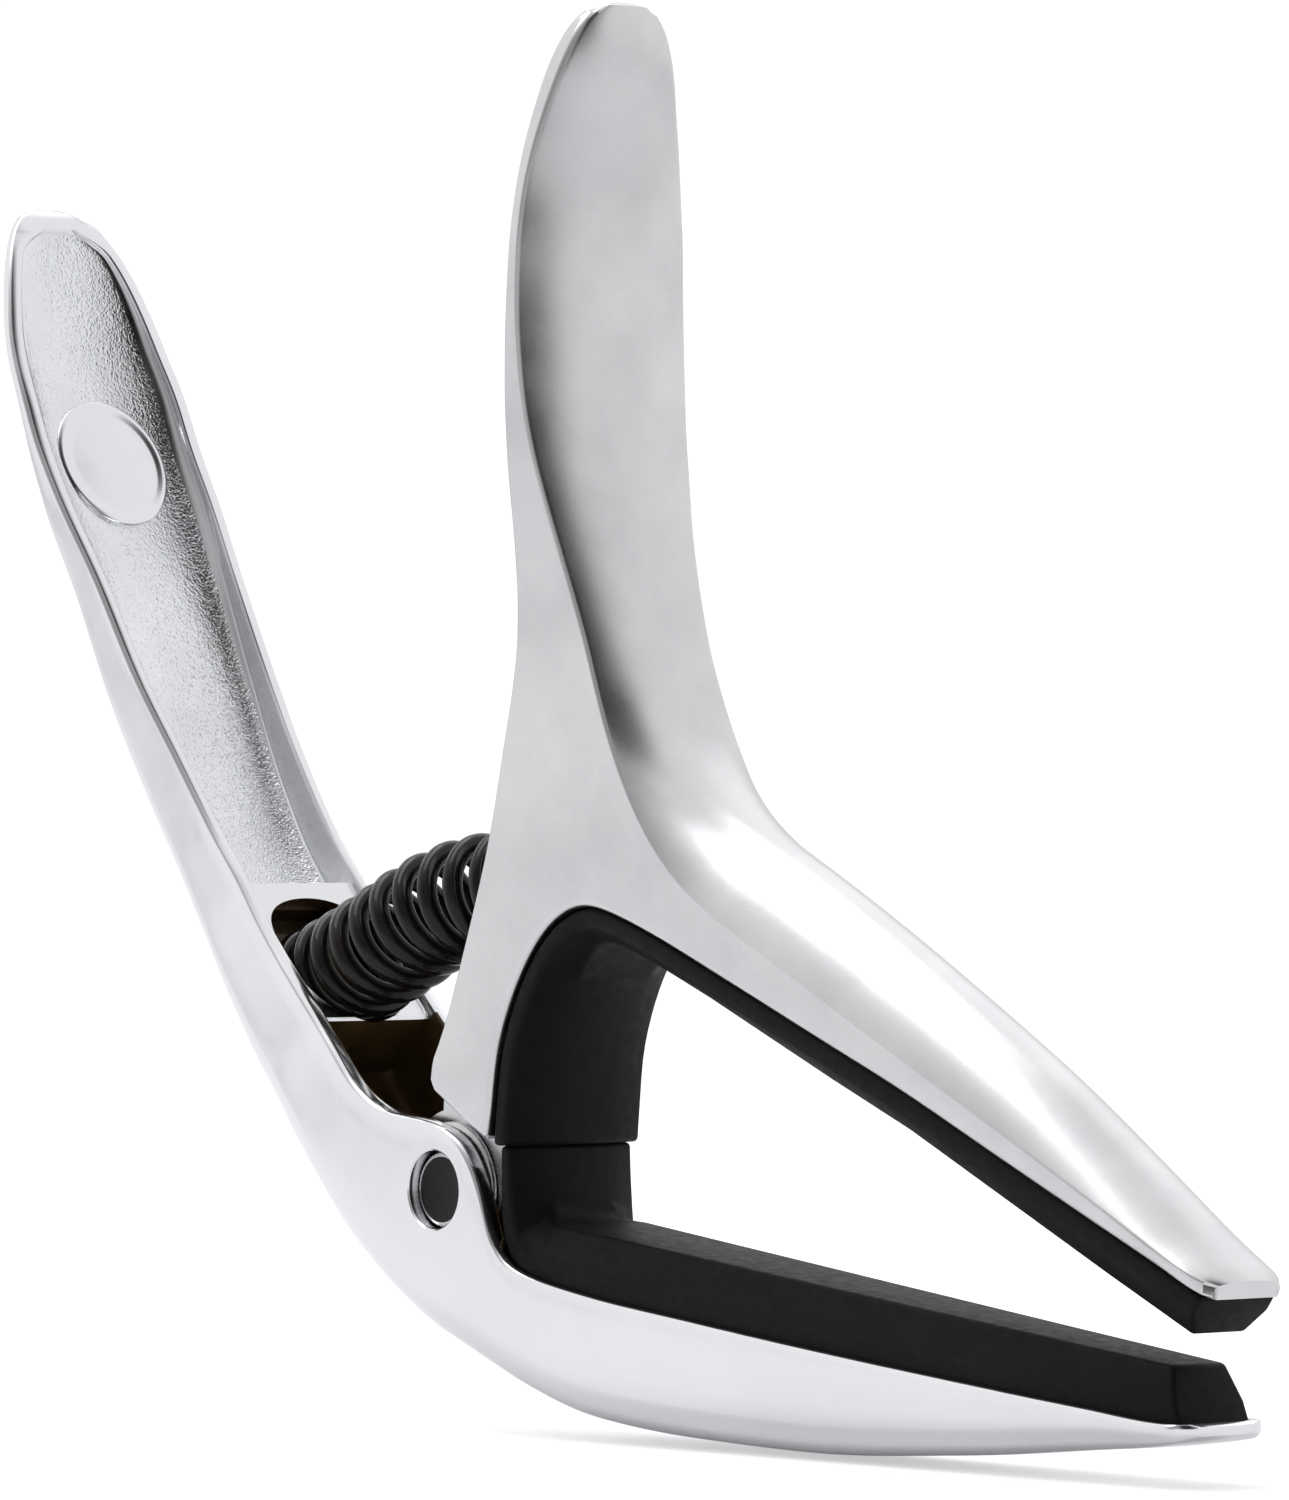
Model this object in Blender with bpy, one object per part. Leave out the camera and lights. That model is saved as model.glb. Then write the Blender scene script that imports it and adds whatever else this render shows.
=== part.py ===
"""Trigger-style guitar capo: two cast arms crossed on one hinge pin, a compression spring and two rubber pads.

It stands on the belly of its lower arm. X runs along the jaws, Y across them and Z up.
All sizes are in millimetres about the hinge axis, and are turned into metres where a mesh is made.
"""
import math

import bmesh
import bpy
from mathutils import Vector
from mathutils.geometry import delaunay_2d_cdt

MM = 0.001
HINGE_X = -9.225
HINGE_Z = 14.699

# Hinge
PIN_RADIUS = 2.37
PIN_HOLE_RADIUS = 2.45
PIN_HALF_LENGTH = 5.43
CHEEK_HALF_WIDTH = 5.8
KNUCKLE_RADIUS = 5.0
KNUCKLE_HALF_WIDTH = 3.95
WASHER_RADIUS = 4.2
WASHER_INNER = 4.05
WASHER_OUTER = 4.45

# Spring: points that the axis of its coils passes through, from the lower arm's seat to the upper arm's pocket
COIL_RADIUS = 3.25
WIRE_RADIUS = 0.65
COIL_TURNS = 11
FIRST_PITCH = 1.9
SPRING_AXIS = (
    (-18.5, 12.33),
    (-14.57, 13.75),
    (-10.8, 15.35),
    (-6.95, 17.04),
    (-4.35, 17.82),
    (-1.9, 18.25),
    (6.2, 19.2),
)

# Lower arm, tip of the lever first. Each rib joins the back to the rim, and each row is
# back x, back z, rim x, rim z, width, trough depth, wall, squareness of the trough, corner radius, crown of the back
LOWER_RIBS = (
    (-48.2, 63.2, -47.6, 63.5, 3.0, 0.05, 0.60, 2.5, 0.3, 0.1),
    (-47.6, 62.2, -46.9, 62.5, 6.0, 0.20, 0.85, 2.5, 0.4, 0.4),
    (-46.7, 60.2, -45.8, 60.5, 9.0, 0.50, 0.95, 2.6, 0.5, 0.8),
    (-45.5, 57.2, -44.5, 57.5, 11.3, 0.90, 1.00, 2.8, 0.5, 1.2),
    (-44.2, 53.8, -43.2, 54.2, 12.8, 1.25, 1.00, 3.0, 0.6, 1.4),
    (-42.5, 50.4, -41.4, 50.8, 13.5, 1.50, 1.00, 3.0, 0.7, 1.4),
    (-41.3, 47.1, -40.0, 47.8, 13.6, 1.70, 1.00, 3.0, 0.8, 1.3),
    (-40.0, 43.8, -38.1, 44.6, 13.5, 1.90, 1.00, 3.2, 1.0, 1.1),
    (-36.9, 37.2, -34.2, 38.4, 12.4, 2.10, 1.00, 3.6, 1.0, 0.8),
    (-33.9, 30.7, -30.5, 32.3, 11.8, 2.30, 1.00, 4.0, 1.0, 0.6),
    (-30.4, 24.2, -26.5, 26.6, 10.8, 2.80, 0.95, 4.0, 1.1, 0.5),
    (-27.0, 18.9, -22.85, 21.8, 10.4, 3.20, 0.90, 4.0, 1.2, 0.4),
    (-25.25, 16.15, -20.75, 19.5, 10.4, 3.30, 0.90, 4.0, 1.3, 0.4),
    (-25.05, 15.85, -20.5, 19.2, 10.4, 0.60, 0.90, 9.0, 1.3, 0.4),
    (-22.9, 12.6, -18.15, 16.4, 10.7, 0.60, 0.95, 9.0, 1.5, 0.4),
    (-18.0, 6.2, -12.6, 10.8, 11.1, 0.60, 1.15, 9.0, 1.8, 0.3),
    (-17.75, 5.95, -12.35, 10.55, 11.1, 5.90, 1.15, 14.0, 1.8, 0.3),
    (-16.1, 3.85, -10.6, 8.9, 11.35, 6.40, 1.20, 14.0, 2.0, 0.3),
    (-12.2, -0.4, -7.3, 5.85, 11.6, 7.00, 1.25, 14.0, 2.0, 0.2),
    (-9.9, -2.75, -4.4, 4.65, 11.6, 8.10, 1.25, 14.0, 2.0, 0.2),
    (-7.5, -4.7, -1.6, 4.4, 11.6, 9.20, 1.25, 14.0, 2.0, 0.2),
    (-1.6, -8.45, 2.3, 3.2, 11.6, 10.30, 1.25, 14.0, 2.2, 0.0),
    (2.05, -9.96, 4.4, 0.2, 11.5, 8.50, 1.25, 14.0, 2.4, 0.0),
    (4.8, -11.1, 5.3, -2.8, 11.25, 6.30, 1.20, 14.0, 2.5, 0.0),
    (5.25, -11.28, 5.6, -3.3, 11.2, 0.60, 0.65, 10.0, 2.5, 0.0),
    (6.6, -11.84, 6.6, -4.3, 11.1, 0.60, 0.65, 10.0, 2.5, 0.0),
    (13.2, -13.45, 13.4, -5.9, 10.65, 0.60, 0.65, 10.0, 2.8, 0.2),
    (22.0, -14.2, 22.6, -7.05, 10.05, 0.60, 0.65, 10.0, 2.8, 0.2),
    (33.2, -14.5, 33.9, -8.35, 9.3, 0.60, 0.65, 10.0, 2.6, 0.2),
    (44.4, -14.0, 44.9, -9.5, 8.5, 0.60, 0.65, 10.0, 2.2, 0.2),
    (56.0, -13.1, 56.2, -10.6, 7.75, 0.60, 0.65, 10.0, 1.4, 0.1),
    (63.4, -12.35, 63.5, -11.2, 7.25, 0.60, 0.65, 10.0, 0.6, 0.1),
    (64.5, -12.0, 64.5, -11.4, 6.6, 0.25, 0.65, 10.0, 0.25, 0.0),
)
LOWER_STEP = 2.6         # the most between two ribs along the arm
RIM_RADIUS = 0.3
# The straight, flat stretch of the belly below the centre of mass, which the capo comes to rest on
BELLY_FLAT = ((-1.6, -8.45), (6.6, -11.84))

# Spring seat: a well in line with the spring, round below and square above, and a slot deeper than the well's floor
WELL_FLOOR = (-19.34, 12.0)
WELL_ANGLE = math.radians(21)
WELL_RADIUS = 4.05
WELL_HEIGHT = 5.8        # of its square upper part, from the spring's axis
WELL_LENGTH = 9.0
SLOT_BOTTOM = 3.84
SLOT_TOP = 5.5
SLOT_HALF_WIDTH = 3.6
SLOT_DEPTH = 2.1

# Boss on the lever's trough
BOSS_CENTRE = (-41.0, 46.3)
BOSS_ANGLE = math.radians(26)
BOSS_HALF_WIDTH = 4.3
BOSS_HALF_LENGTH = 4.6
BOSS_HEIGHT = 0.5

# Upper arm's outline. The front edge's rows are x, z and the crown of the front between its two edges
FRONT_EDGE = (
    (11.9, 73.0, 0.1),
    (11.3, 69.5, 0.6),
    (10.4, 66.0, 0.8),
    (9.6, 60.9, 0.9),
    (9.4, 54.8, 0.9),
    (9.8, 48.7, 0.8),
    (11.1, 42.5, 0.7),
    (13.0, 36.4, 0.6),
    (15.2, 30.3, 0.6),
    (16.6, 27.2, 1.3),
    (18.3, 24.2, 2.4),
    (20.5, 21.3, 3.4),
    (23.4, 18.7, 4.0),
    (28.0, 16.1, 4.3),
    (33.2, 13.5, 4.2),
    (41.8, 9.2, 3.8),
    (50.1, 5.1, 3.1),
    (58.3, 0.9, 1.8),
    (63.0, -1.65, 1.1),
    (66.3, -3.3, 0.5),
)
PAD_SEAT = (
    (66.2, -4.1),
    (58.3, -0.4),
    (50.1, 3.4),
    (41.8, 7.2),
    (35.0, 10.0),
    (24.5, 14.3),
    (19.5, 16.3),
    (15.7, 17.5),
    (13.8, 17.85),
    (11.9, 17.35),
    (10.0, 16.1),
    (8.2, 13.9),
    (6.8, 11.3),
    (5.8, 8.2),
    (5.4, 5.1),
    (5.1, 3.5),
)
LEG_END = (
    (4.9, 3.3),
    (3.0, 4.35),
    (0.0, 6.06),
)
BACK_EDGE = (
    (-0.45, 6.8),
    (-0.3, 8.0),
    (0.5, 9.4),
    (2.2, 14.2),
    (3.9, 19.3),
    (4.75, 22.2),
    (5.85, 27.3),
    (6.75, 31.6),
    (7.35, 36.5),
    (7.65, 45.7),
    (8.1, 54.8),
    (8.6, 63.4),
    (9.2, 69.0),
    (10.2, 72.9),
)
LEVER_TIP = (11.1, 73.3)
# Full width of the upper arm, by height on the lever and the leg, and by length on the jaw
UPPER_WIDTH_BY_Z = (
    (3.0, 11.7),
    (8.0, 11.6),
    (14.0, 11.1),
    (20.0, 10.7),
    (27.0, 10.35),
    (33.0, 10.1),
    (36.0, 10.4),
    (39.5, 11.1),
    (45.6, 12.7),
    (50.0, 13.4),
    (54.0, 13.6),
    (58.0, 13.45),
    (61.0, 12.9),
    (64.0, 11.9),
    (67.0, 10.4),
    (69.5, 8.5),
    (71.5, 6.4),
    (72.7, 4.4),
    (73.3, 2.4),
)
UPPER_WIDTH_BY_X = (
    (14.0, 10.8),
    (20.0, 10.6),
    (65.0, 6.8),
    (66.3, 6.0),
)
UPPER_STEP = 2.4
UPPER_BEVEL = 0.25

# Spring pocket in the back of the upper arm: x of its floor, z, half width
POCKET = (
    (6.6, 12.8, 3.6),
    (7.6, 14.8, 4.2),
    (7.9, 23.6, 4.2),
    (7.2, 27.5, 3.4),
)
POCKET_MOUTH_X = -3.0

# Pads. Each rib joins the base to the free face, and each row is
# base x, base z, face x, face z, width at the base, height of the straight wall, width of the free face
UPPER_PAD_RIBS = (
    (5.35, 2.9, 7.4, 2.9, 10.9, 1.2, 4.4),
    (5.6, 5.1, 7.6, 5.1, 10.85, 1.2, 4.6),
    (5.98, 8.2, 8.05, 7.9, 10.75, 1.2, 4.7),
    (6.98, 11.25, 8.95, 10.6, 10.6, 1.2, 4.9),
    (8.35, 13.75, 10.0, 12.5, 10.45, 1.15, 5.3),
    (10.13, 15.93, 11.3, 13.95, 10.3, 1.1, 6.1),
    (11.97, 17.15, 12.6, 15.05, 10.1, 1.1, 6.8),
    (13.8, 17.65, 13.7, 15.6, 10.0, 1.1, 7.1),
    (15.65, 17.3, 15.0, 15.4, 9.95, 1.1, 7.1),
    (19.4, 16.1, 18.65, 14.2, 9.9, 1.1, 7.1),
    (24.4, 14.1, 23.6, 12.2, 9.5, 1.1, 6.75),
    (34.95, 9.8, 34.0, 7.6, 8.6, 1.15, 5.95),
    (41.75, 7.0, 40.75, 4.75, 8.05, 1.2, 5.5),
    (50.05, 3.2, 49.0, 0.8, 7.35, 1.2, 5.0),
    (58.25, -0.6, 57.15, -3.1, 6.7, 1.2, 4.5),
    (65.6, -4.0, 63.9, -6.25, 6.1, 1.2, 4.1),
)
LOWER_PAD_RIBS = (
    (5.5, 2.45, 7.0, 2.45, 9.9, 0.9, 4.3),
    (5.5, 0.3, 7.35, 0.3, 9.9, 1.0, 4.3),
    (5.5, -1.7, 7.65, -0.9, 9.85, 1.2, 4.6),
    (6.15, -4.2, 7.95, -1.5, 9.6, 1.5, 5.6),
    (7.5, -5.2, 8.4, -1.8, 9.5, 1.6, 6.4),
    (9.2, -5.65, 9.5, -1.93, 9.4, 1.6, 7.2),
    (15.6, -6.7, 16.0, -2.68, 9.0, 1.6, 6.8),
    (33.3, -8.75, 33.8, -4.73, 7.8, 1.6, 5.7),
    (50.3, -10.5, 50.3, -6.63, 6.6, 1.6, 4.8),
    (63.75, -11.6, 62.3, -8.01, 5.65, 1.5, 4.3),
)


def clear_scene():
    for obj in list(bpy.data.objects):
        bpy.data.objects.remove(obj)


def placed(x, y, z):
    """A point about the hinge, in the finished frame."""
    return Vector(((x + HINGE_X) * MM, y * MM, (z + HINGE_Z) * MM))


def slopes(keys, values):
    """Slopes of a curve through the values that never overshoots them."""
    steps = [b - a for a, b in zip(keys, keys[1:])]
    rises = [(b - a) / step for a, b, step in zip(values, values[1:], steps)]
    found = [rises[0]]
    for left, right, h0, h1 in zip(rises, rises[1:], steps, steps[1:]):
        if left * right <= 0:
            found.append(0.0)
            continue
        w0 = 2 * h1 + h0
        w1 = h1 + 2 * h0
        found.append((w0 + w1) / (w0 / left + w1 / right))
    return found + [rises[-1]]


def curve(keys, values):
    """The function of a smooth curve through values at keys."""
    slope = slopes(keys, values)

    def at(key):
        key = min(max(key, keys[0]), keys[-1])
        i = max(k for k in range(len(keys) - 1) if keys[k] <= key or k == 0)
        h = keys[i + 1] - keys[i]
        t = (key - keys[i]) / h
        a = values[i] * (1 + 2 * t) * (1 - t) ** 2
        b = slope[i] * h * t * (1 - t) ** 2
        c = values[i + 1] * t * t * (3 - 2 * t)
        d = slope[i + 1] * h * t * t * (t - 1)
        return a + b + c + d

    return at


def distances(rows, across):
    """Distance along a run of rows, by the point that across picks from each."""
    found = [0.0]
    for a, b in zip(rows, rows[1:]):
        found.append(found[-1] + math.dist(across(a), across(b)))
    return found


def filled_in(rows, step, across):
    """The rows with smoothly curved ones between them, so that none is further than step from the next."""
    keys = distances(rows, across)
    columns = [curve(keys, column) for column in zip(*rows)]
    found = []
    for a, b in zip(keys, keys[1:]):
        count = max(1, math.ceil((b - a) / step))
        for k in range(count):
            found.append(tuple(column(a + (b - a) * k / count) for column in columns))
    return found + [rows[-1]]


def middle_of_rib(row):
    return (row[0] + row[2]) / 2, (row[1] + row[3]) / 2


def point_of(row):
    return row[0], row[1]


def mesh_object(name, bm, material):
    bmesh.ops.recalc_face_normals(bm, faces=bm.faces)
    mesh = bpy.data.meshes.new(name)
    bm.to_mesh(mesh)
    bm.free()
    mesh.materials.append(material)
    obj = bpy.data.objects.new(name, mesh)
    bpy.context.scene.collection.objects.link(obj)
    return obj


def loft(name, rings, material):
    """A closed body through rings of points, with its two ends filled."""
    bm = bmesh.new()
    loops = [[bm.verts.new(point) for point in ring] for ring in rings]
    for a, b in zip(loops, loops[1:]):
        for i in range(len(a)):
            j = (i + 1) % len(a)
            bm.faces.new((a[i], a[j], b[j], b[i]))
    bm.faces.new(loops[0])
    bm.faces.new(loops[-1])
    return mesh_object(name, bm, material)


def ribbed(name, rows, section, material):
    """A loft whose every ring stands in the plane of a rib and the Y axis."""
    rings = []
    for row in rows:
        foot = Vector((row[0], row[1]))
        rib = Vector((row[2], row[3])) - foot
        up = rib.normalized()
        ring = []
        for y, n in section(row, rib.length):
            x, z = foot + up * n
            ring.append(placed(x, y, z))
        rings.append(ring)
    return loft(name, rings, material)


def whole(half):
    """A ring from its half on the +Y side, which starts and ends on the middle."""
    return half + [(-y, n) for y, n in half[-2:0:-1]]


def prism(name, outline, half_width, material):
    near = [placed(x, -half_width, z) for x, z in outline]
    far = [placed(x, half_width, z) for x, z in outline]
    return loft(name, (near, far), material)


def lathe(name, profile, count, material):
    """A body turned about the hinge axis from (y, radius) points, closed on the axis or into a ring."""
    rings = []
    for k in range(count):
        a = 2 * math.pi * k / count
        rings.append([placed(r * math.cos(a), y, r * math.sin(a)) for y, r in profile])
    bm = bmesh.new()
    loops = [[bm.verts.new(point) for point in ring] for ring in rings]
    last = len(profile)
    for a, b in zip(loops, loops[1:] + loops[:1]):
        for i in range(last):
            j = (i + 1) % last
            if j or profile[0][1] > 0:
                bm.faces.new((a[i], a[j], b[j], b[i]))
    bmesh.ops.remove_doubles(bm, verts=bm.verts, dist=1e-7)
    return mesh_object(name, bm, material)


def boolean(obj, other, operation):
    modifier = obj.modifiers.new(other.name, "BOOLEAN")
    modifier.operation = operation
    modifier.solver = "EXACT"
    modifier.object = other
    other.hide_render = True
    other.display_type = "WIRE"


def trough_section(row, depth):
    """Half a channel from the middle of its back round the rim to the middle of its floor, and its mirror image."""
    width, trough, wall, square, corner, crown = row[4:]
    half = width / 2
    corner = min(corner, 0.8 * depth, 0.6 * half)
    rim = min(RIM_RADIUS, 0.35 * depth, 0.4 * wall)
    inner = max(half - wall, 0.3 * half)
    points = [((half - corner) * k / 4, 0.0) for k in range(4)]
    for k in range(4):
        a = math.radians(-90 + 30 * k)
        points.append((half - corner + corner * math.cos(a), corner + corner * math.sin(a)))
    points = [
        (y, n - crown * (1 - (y / half) ** 2) * (1 - n / corner))
        for y, n in points
    ]
    for k in range(3):
        a = math.radians(45 * k)
        points.append((half - rim + rim * math.cos(a), depth - rim + rim * math.sin(a)))
    for k in range(8):
        a = math.radians(90 * k / 7)
        y = inner * math.cos(a) ** (2 / square) if k < 7 else 0.0
        points.append((y, depth - trough * math.sin(a) ** (2 / square)))
    return whole(points)


def pad_section(row, depth):
    """Half a bar with a straight wall and a slanted shoulder, and its mirror image."""
    base, wall, face = row[4:]
    soft = 0.25
    half = base / 2
    shoulder = Vector((face / 2 - half, depth - wall)).normalized()
    points = [(0.0, 0.0), (half, 0.0), (half, wall - soft)]
    points.append((half + shoulder.x * soft, wall + shoulder.y * soft))
    points.append((face / 2 - shoulder.x * soft, depth - shoulder.y * soft))
    points.append((face / 2 - soft, depth))
    points.append((0.0, depth))
    return whole(points)


def oval(centre, angle, half_width, half_length, height, count):
    """Points round an oval square to a line at this angle above X, at a height along that line."""
    up = Vector((-math.sin(angle), math.cos(angle)))
    out = Vector((math.cos(angle), math.sin(angle)))
    ring = []
    for k in range(count):
        a = 2 * math.pi * k / count
        x, z = Vector(centre) + up * half_length * math.sin(a) + out * height
        ring.append(placed(x, half_width * math.cos(a), z))
    return ring


def in_the_well(y, height, forward):
    """A point beside and over the spring's axis, and forward of the well's floor."""
    ahead = Vector((math.cos(WELL_ANGLE), math.sin(WELL_ANGLE)))
    up = Vector((-math.sin(WELL_ANGLE), math.cos(WELL_ANGLE)))
    x, z = Vector(WELL_FLOOR) + ahead * forward + up * height
    return placed(x, y, z)


def well(material):
    outline = []
    for k in range(36):
        a = math.pi * k / 18
        height = WELL_HEIGHT * math.sin(a) ** 0.4 if k <= 18 else WELL_RADIUS * math.sin(a)
        outline.append((WELL_RADIUS * math.cos(a), height))
    outline[0] = (WELL_RADIUS, 0.0)
    outline[18] = (-WELL_RADIUS, 0.0)
    rings = [[in_the_well(y, n, forward) for y, n in outline] for forward in (0.0, WELL_LENGTH)]
    return loft("spring_well", rings, material)


def slot(material):
    """The slot, with its two upper corners cut off."""
    corner = 0.8
    outline = (
        (-SLOT_HALF_WIDTH, SLOT_BOTTOM),
        (SLOT_HALF_WIDTH, SLOT_BOTTOM),
        (SLOT_HALF_WIDTH, SLOT_TOP - corner),
        (SLOT_HALF_WIDTH - corner, SLOT_TOP),
        (corner - SLOT_HALF_WIDTH, SLOT_TOP),
        (-SLOT_HALF_WIDTH, SLOT_TOP - corner),
    )
    rings = [[in_the_well(y, n, forward) for y, n in outline] for forward in (-SLOT_DEPTH, 0.5)]
    return loft("seat_slot", rings, material)


def boss(material):
    steps = ((1.0, -0.6), (1.0, 0.5 * BOSS_HEIGHT), (0.9, 0.85 * BOSS_HEIGHT), (0.6, BOSS_HEIGHT))
    rings = [
        oval(BOSS_CENTRE, BOSS_ANGLE, size * BOSS_HALF_WIDTH, size * BOSS_HALF_LENGTH, height, 28)
        for size, height in steps
    ]
    return loft("lever_boss", rings, material)


def pin_hole(name, material):
    face = CHEEK_HALF_WIDTH
    profile = (
        (-face - 1.0, 0.0),
        (-face - 1.0, PIN_HOLE_RADIUS + 1.2),
        (-face + 0.2, PIN_HOLE_RADIUS),
        (face - 0.2, PIN_HOLE_RADIUS),
        (face + 1.0, PIN_HOLE_RADIUS + 1.2),
        (face + 1.0, 0.0),
    )
    return lathe(name, profile, 32, material)


def with_flat(rows):
    """The rows with their backs on one straight line along the belly's flat."""
    (x0, z0), (x1, z1) = BELLY_FLAT
    found = []
    for row in rows:
        if x0 <= row[0] <= x1:
            row = (row[0], z0 + (row[0] - x0) * (z1 - z0) / (x1 - x0), *row[2:9], 0.0)
        found.append(row)
    return found


def lower_arm(material):
    rows = with_flat(filled_in(LOWER_RIBS, LOWER_STEP, middle_of_rib))
    arm = ribbed("lower_arm", rows, trough_section, material)
    boolean(arm, boss(material), "UNION")
    boolean(arm, well(material), "DIFFERENCE")
    boolean(arm, slot(material), "DIFFERENCE")
    boolean(arm, pin_hole("cheek_hole", material), "DIFFERENCE")
    return arm


WIDTH_BY_Z = curve(*zip(*UPPER_WIDTH_BY_Z))
WIDTH_BY_X = curve(*zip(*UPPER_WIDTH_BY_X))


def upper_width(x, z):
    """Full width of the upper arm at a point of its side."""
    t = min(max((x - 14) / 10, 0), 1)
    t = t * t * (3 - 2 * t)
    return WIDTH_BY_Z(z) * (1 - t) + WIDTH_BY_X(x) * t


def inset(outline, distance):
    """A closed outline moved inwards, for one that runs anticlockwise."""
    found = []
    count = len(outline)
    for i, point in enumerate(outline):
        before = (point - outline[i - 1]).normalized()
        after = (outline[(i + 1) % count] - point).normalized()
        normal = Vector((-before.y - after.y, before.x + after.x))
        size = max(normal.length, 0.8)
        found.append(point + normal.normalized() * distance * min(2 / size, 1.4))
    return found


def upper_outline():
    """The outline of the side, anticlockwise from the lever's tip, with the crown of the front at each point."""
    back = filled_in(BACK_EDGE[::-1], UPPER_STEP, point_of)
    front = filled_in(FRONT_EDGE, UPPER_STEP, point_of)
    seat = filled_in(PAD_SEAT, UPPER_STEP, point_of)
    rows = [(*LEVER_TIP, 0.0)]
    rows += [(x, z, 0.0) for x, z in back]
    rows += [(x, z, 0.0) for x, z in LEG_END[::-1]]
    rows += [(x, z, 0.0) for x, z in seat[::-1]]
    rows += front[::-1]
    return rows


def side_triangles(ring):
    """Triangles that fill the side's outline, as indices into it."""
    edges = [(i, (i + 1) % len(ring)) for i in range(len(ring))]
    filled = delaunay_2d_cdt(ring, edges, [list(range(len(ring)))], 1, 1e-6)
    return filled[0], filled[2]


def upper_body(name, columns, material):
    rows = upper_outline()
    ring = [Vector((x, z)) for x, z, _ in rows]
    inner = inset(ring, UPPER_BEVEL)
    outward = [(a - b).normalized() for a, b in zip(ring, inner)]
    bm = bmesh.new()
    strips = []
    for point, side, out, (_, _, crown) in zip(ring, inner, outward, rows):
        half = upper_width(side.x, side.y) / 2
        edge = half - UPPER_BEVEL
        strip = [bm.verts.new(placed(side.x, -half, side.y))]
        for k in range(columns + 1):
            t = 2 * k / columns - 1
            x, z = point + out * crown * (1 - t * t) ** 0.75
            strip.append(bm.verts.new(placed(x, edge * t, z)))
        strip.append(bm.verts.new(placed(side.x, half, side.y)))
        strips.append(strip)
    for a, b in zip(strips, strips[1:] + strips[:1]):
        for k in range(len(a) - 1):
            bm.faces.new((a[k], a[k + 1], b[k + 1], b[k]))
    _, triangles = side_triangles(inner)
    for triangle in triangles:
        for end in (0, -1):
            bm.faces.new([strips[i][end] for i in triangle])
    return mesh_object(name, bm, material)


def knuckle(material):
    """The hinge eye with its neck, which reaches up into the body."""
    start = math.acos(-1.2 / KNUCKLE_RADIUS)
    end = 2 * math.pi + math.acos(4.9 / KNUCKLE_RADIUS)
    arc = []
    for k in range(25):
        a = start + (end - start) * k / 24
        arc.append((KNUCKLE_RADIUS * math.cos(a), KNUCKLE_RADIUS * math.sin(a)))
    outline = arc + [(4.85, 9.0), (1.2, 9.0), (0.5, 7.4), (-1.15, 6.0)]
    return prism("knuckle", outline, KNUCKLE_HALF_WIDTH, material)


def spring_pocket(material):
    rings = []
    for floor_x, z, half in POCKET:
        soft = 0.6
        rings.append([
            placed(POCKET_MOUTH_X, -half, z),
            placed(floor_x - soft, -half, z),
            placed(floor_x, -half + soft, z),
            placed(floor_x, half - soft, z),
            placed(floor_x - soft, half, z),
            placed(POCKET_MOUTH_X, half, z),
        ])
    return loft("spring_pocket", rings, material)


def upper_arm(material):
    arm = upper_body("upper_arm", 8, material)
    boolean(arm, spring_pocket(material), "DIFFERENCE")
    boolean(arm, knuckle(material), "UNION")
    boolean(arm, pin_hole("knuckle_hole", material), "DIFFERENCE")
    return arm


SPRING_KEYS = distances(SPRING_AXIS, point_of)
SPRING_X, SPRING_Z = [curve(SPRING_KEYS, column) for column in zip(*SPRING_AXIS)]


def spring_axis(distance):
    """A point on the spring's axis and the axis's heading there."""
    ahead = Vector((SPRING_X(distance + 0.05), SPRING_Z(distance + 0.05)))
    behind = Vector((SPRING_X(distance - 0.05), SPRING_Z(distance - 0.05)))
    heading = ahead - behind
    return (ahead + behind) / 2, math.atan2(heading.y, heading.x)


def wire_point(turn, radius):
    """A point of the helix, whose pitch grows from the seat on. turn runs from 0 to COIL_TURNS."""
    last_pitch = 2 * SPRING_KEYS[-1] / COIL_TURNS - FIRST_PITCH
    distance = turn * (FIRST_PITCH + (last_pitch - FIRST_PITCH) * turn / (2 * COIL_TURNS))
    middle, heading = spring_axis(distance)
    a = 2 * math.pi * turn
    across = Vector((-math.sin(heading), math.cos(heading)))
    x, z = middle + across * radius * math.cos(a)
    return Vector((x, -radius * math.sin(a), z))


def spring(material):
    per_turn = 14
    sides = 7
    count = round(COIL_TURNS * per_turn)
    rings = []
    for k in range(count + 1):
        turn = k / per_turn
        middle = wire_point(turn, COIL_RADIUS)
        ahead = wire_point(turn + 0.01, COIL_RADIUS) - wire_point(turn - 0.01, COIL_RADIUS)
        inward = wire_point(turn, 0) - middle
        side = ahead.cross(inward).normalized()
        inward = side.cross(ahead).normalized()
        ring = []
        for j in range(sides):
            a = 2 * math.pi * j / sides
            point = middle + (side * math.cos(a) + inward * math.sin(a)) * WIRE_RADIUS
            ring.append(placed(*point))
        rings.append(ring)
    return loft("return_spring", rings, material)


def pin(material):
    end = PIN_HALF_LENGTH
    profile = (
        (-end, 0.0),
        (-end, PIN_RADIUS - 0.35),
        (-end + 0.35, PIN_RADIUS),
        (end - 0.35, PIN_RADIUS),
        (end, PIN_RADIUS - 0.35),
        (end, 0.0),
    )
    return lathe("pivot_pin", profile, 32, material)


def washer(name, side, material):
    profile = (
        (side * WASHER_INNER, PIN_HOLE_RADIUS),
        (side * WASHER_OUTER, PIN_HOLE_RADIUS),
        (side * WASHER_OUTER, WASHER_RADIUS),
        (side * WASHER_INNER, WASHER_RADIUS),
    )
    return lathe(name, profile, 32, material)


def principled(name, colour, metallic, roughness):
    material = bpy.data.materials.new(name)
    material.use_nodes = True
    shader = material.node_tree.nodes["Principled BSDF"]
    shader.inputs["Base Color"].default_value = (*colour, 1)
    shader.inputs["Metallic"].default_value = metallic
    shader.inputs["Roughness"].default_value = roughness
    return material


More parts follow.
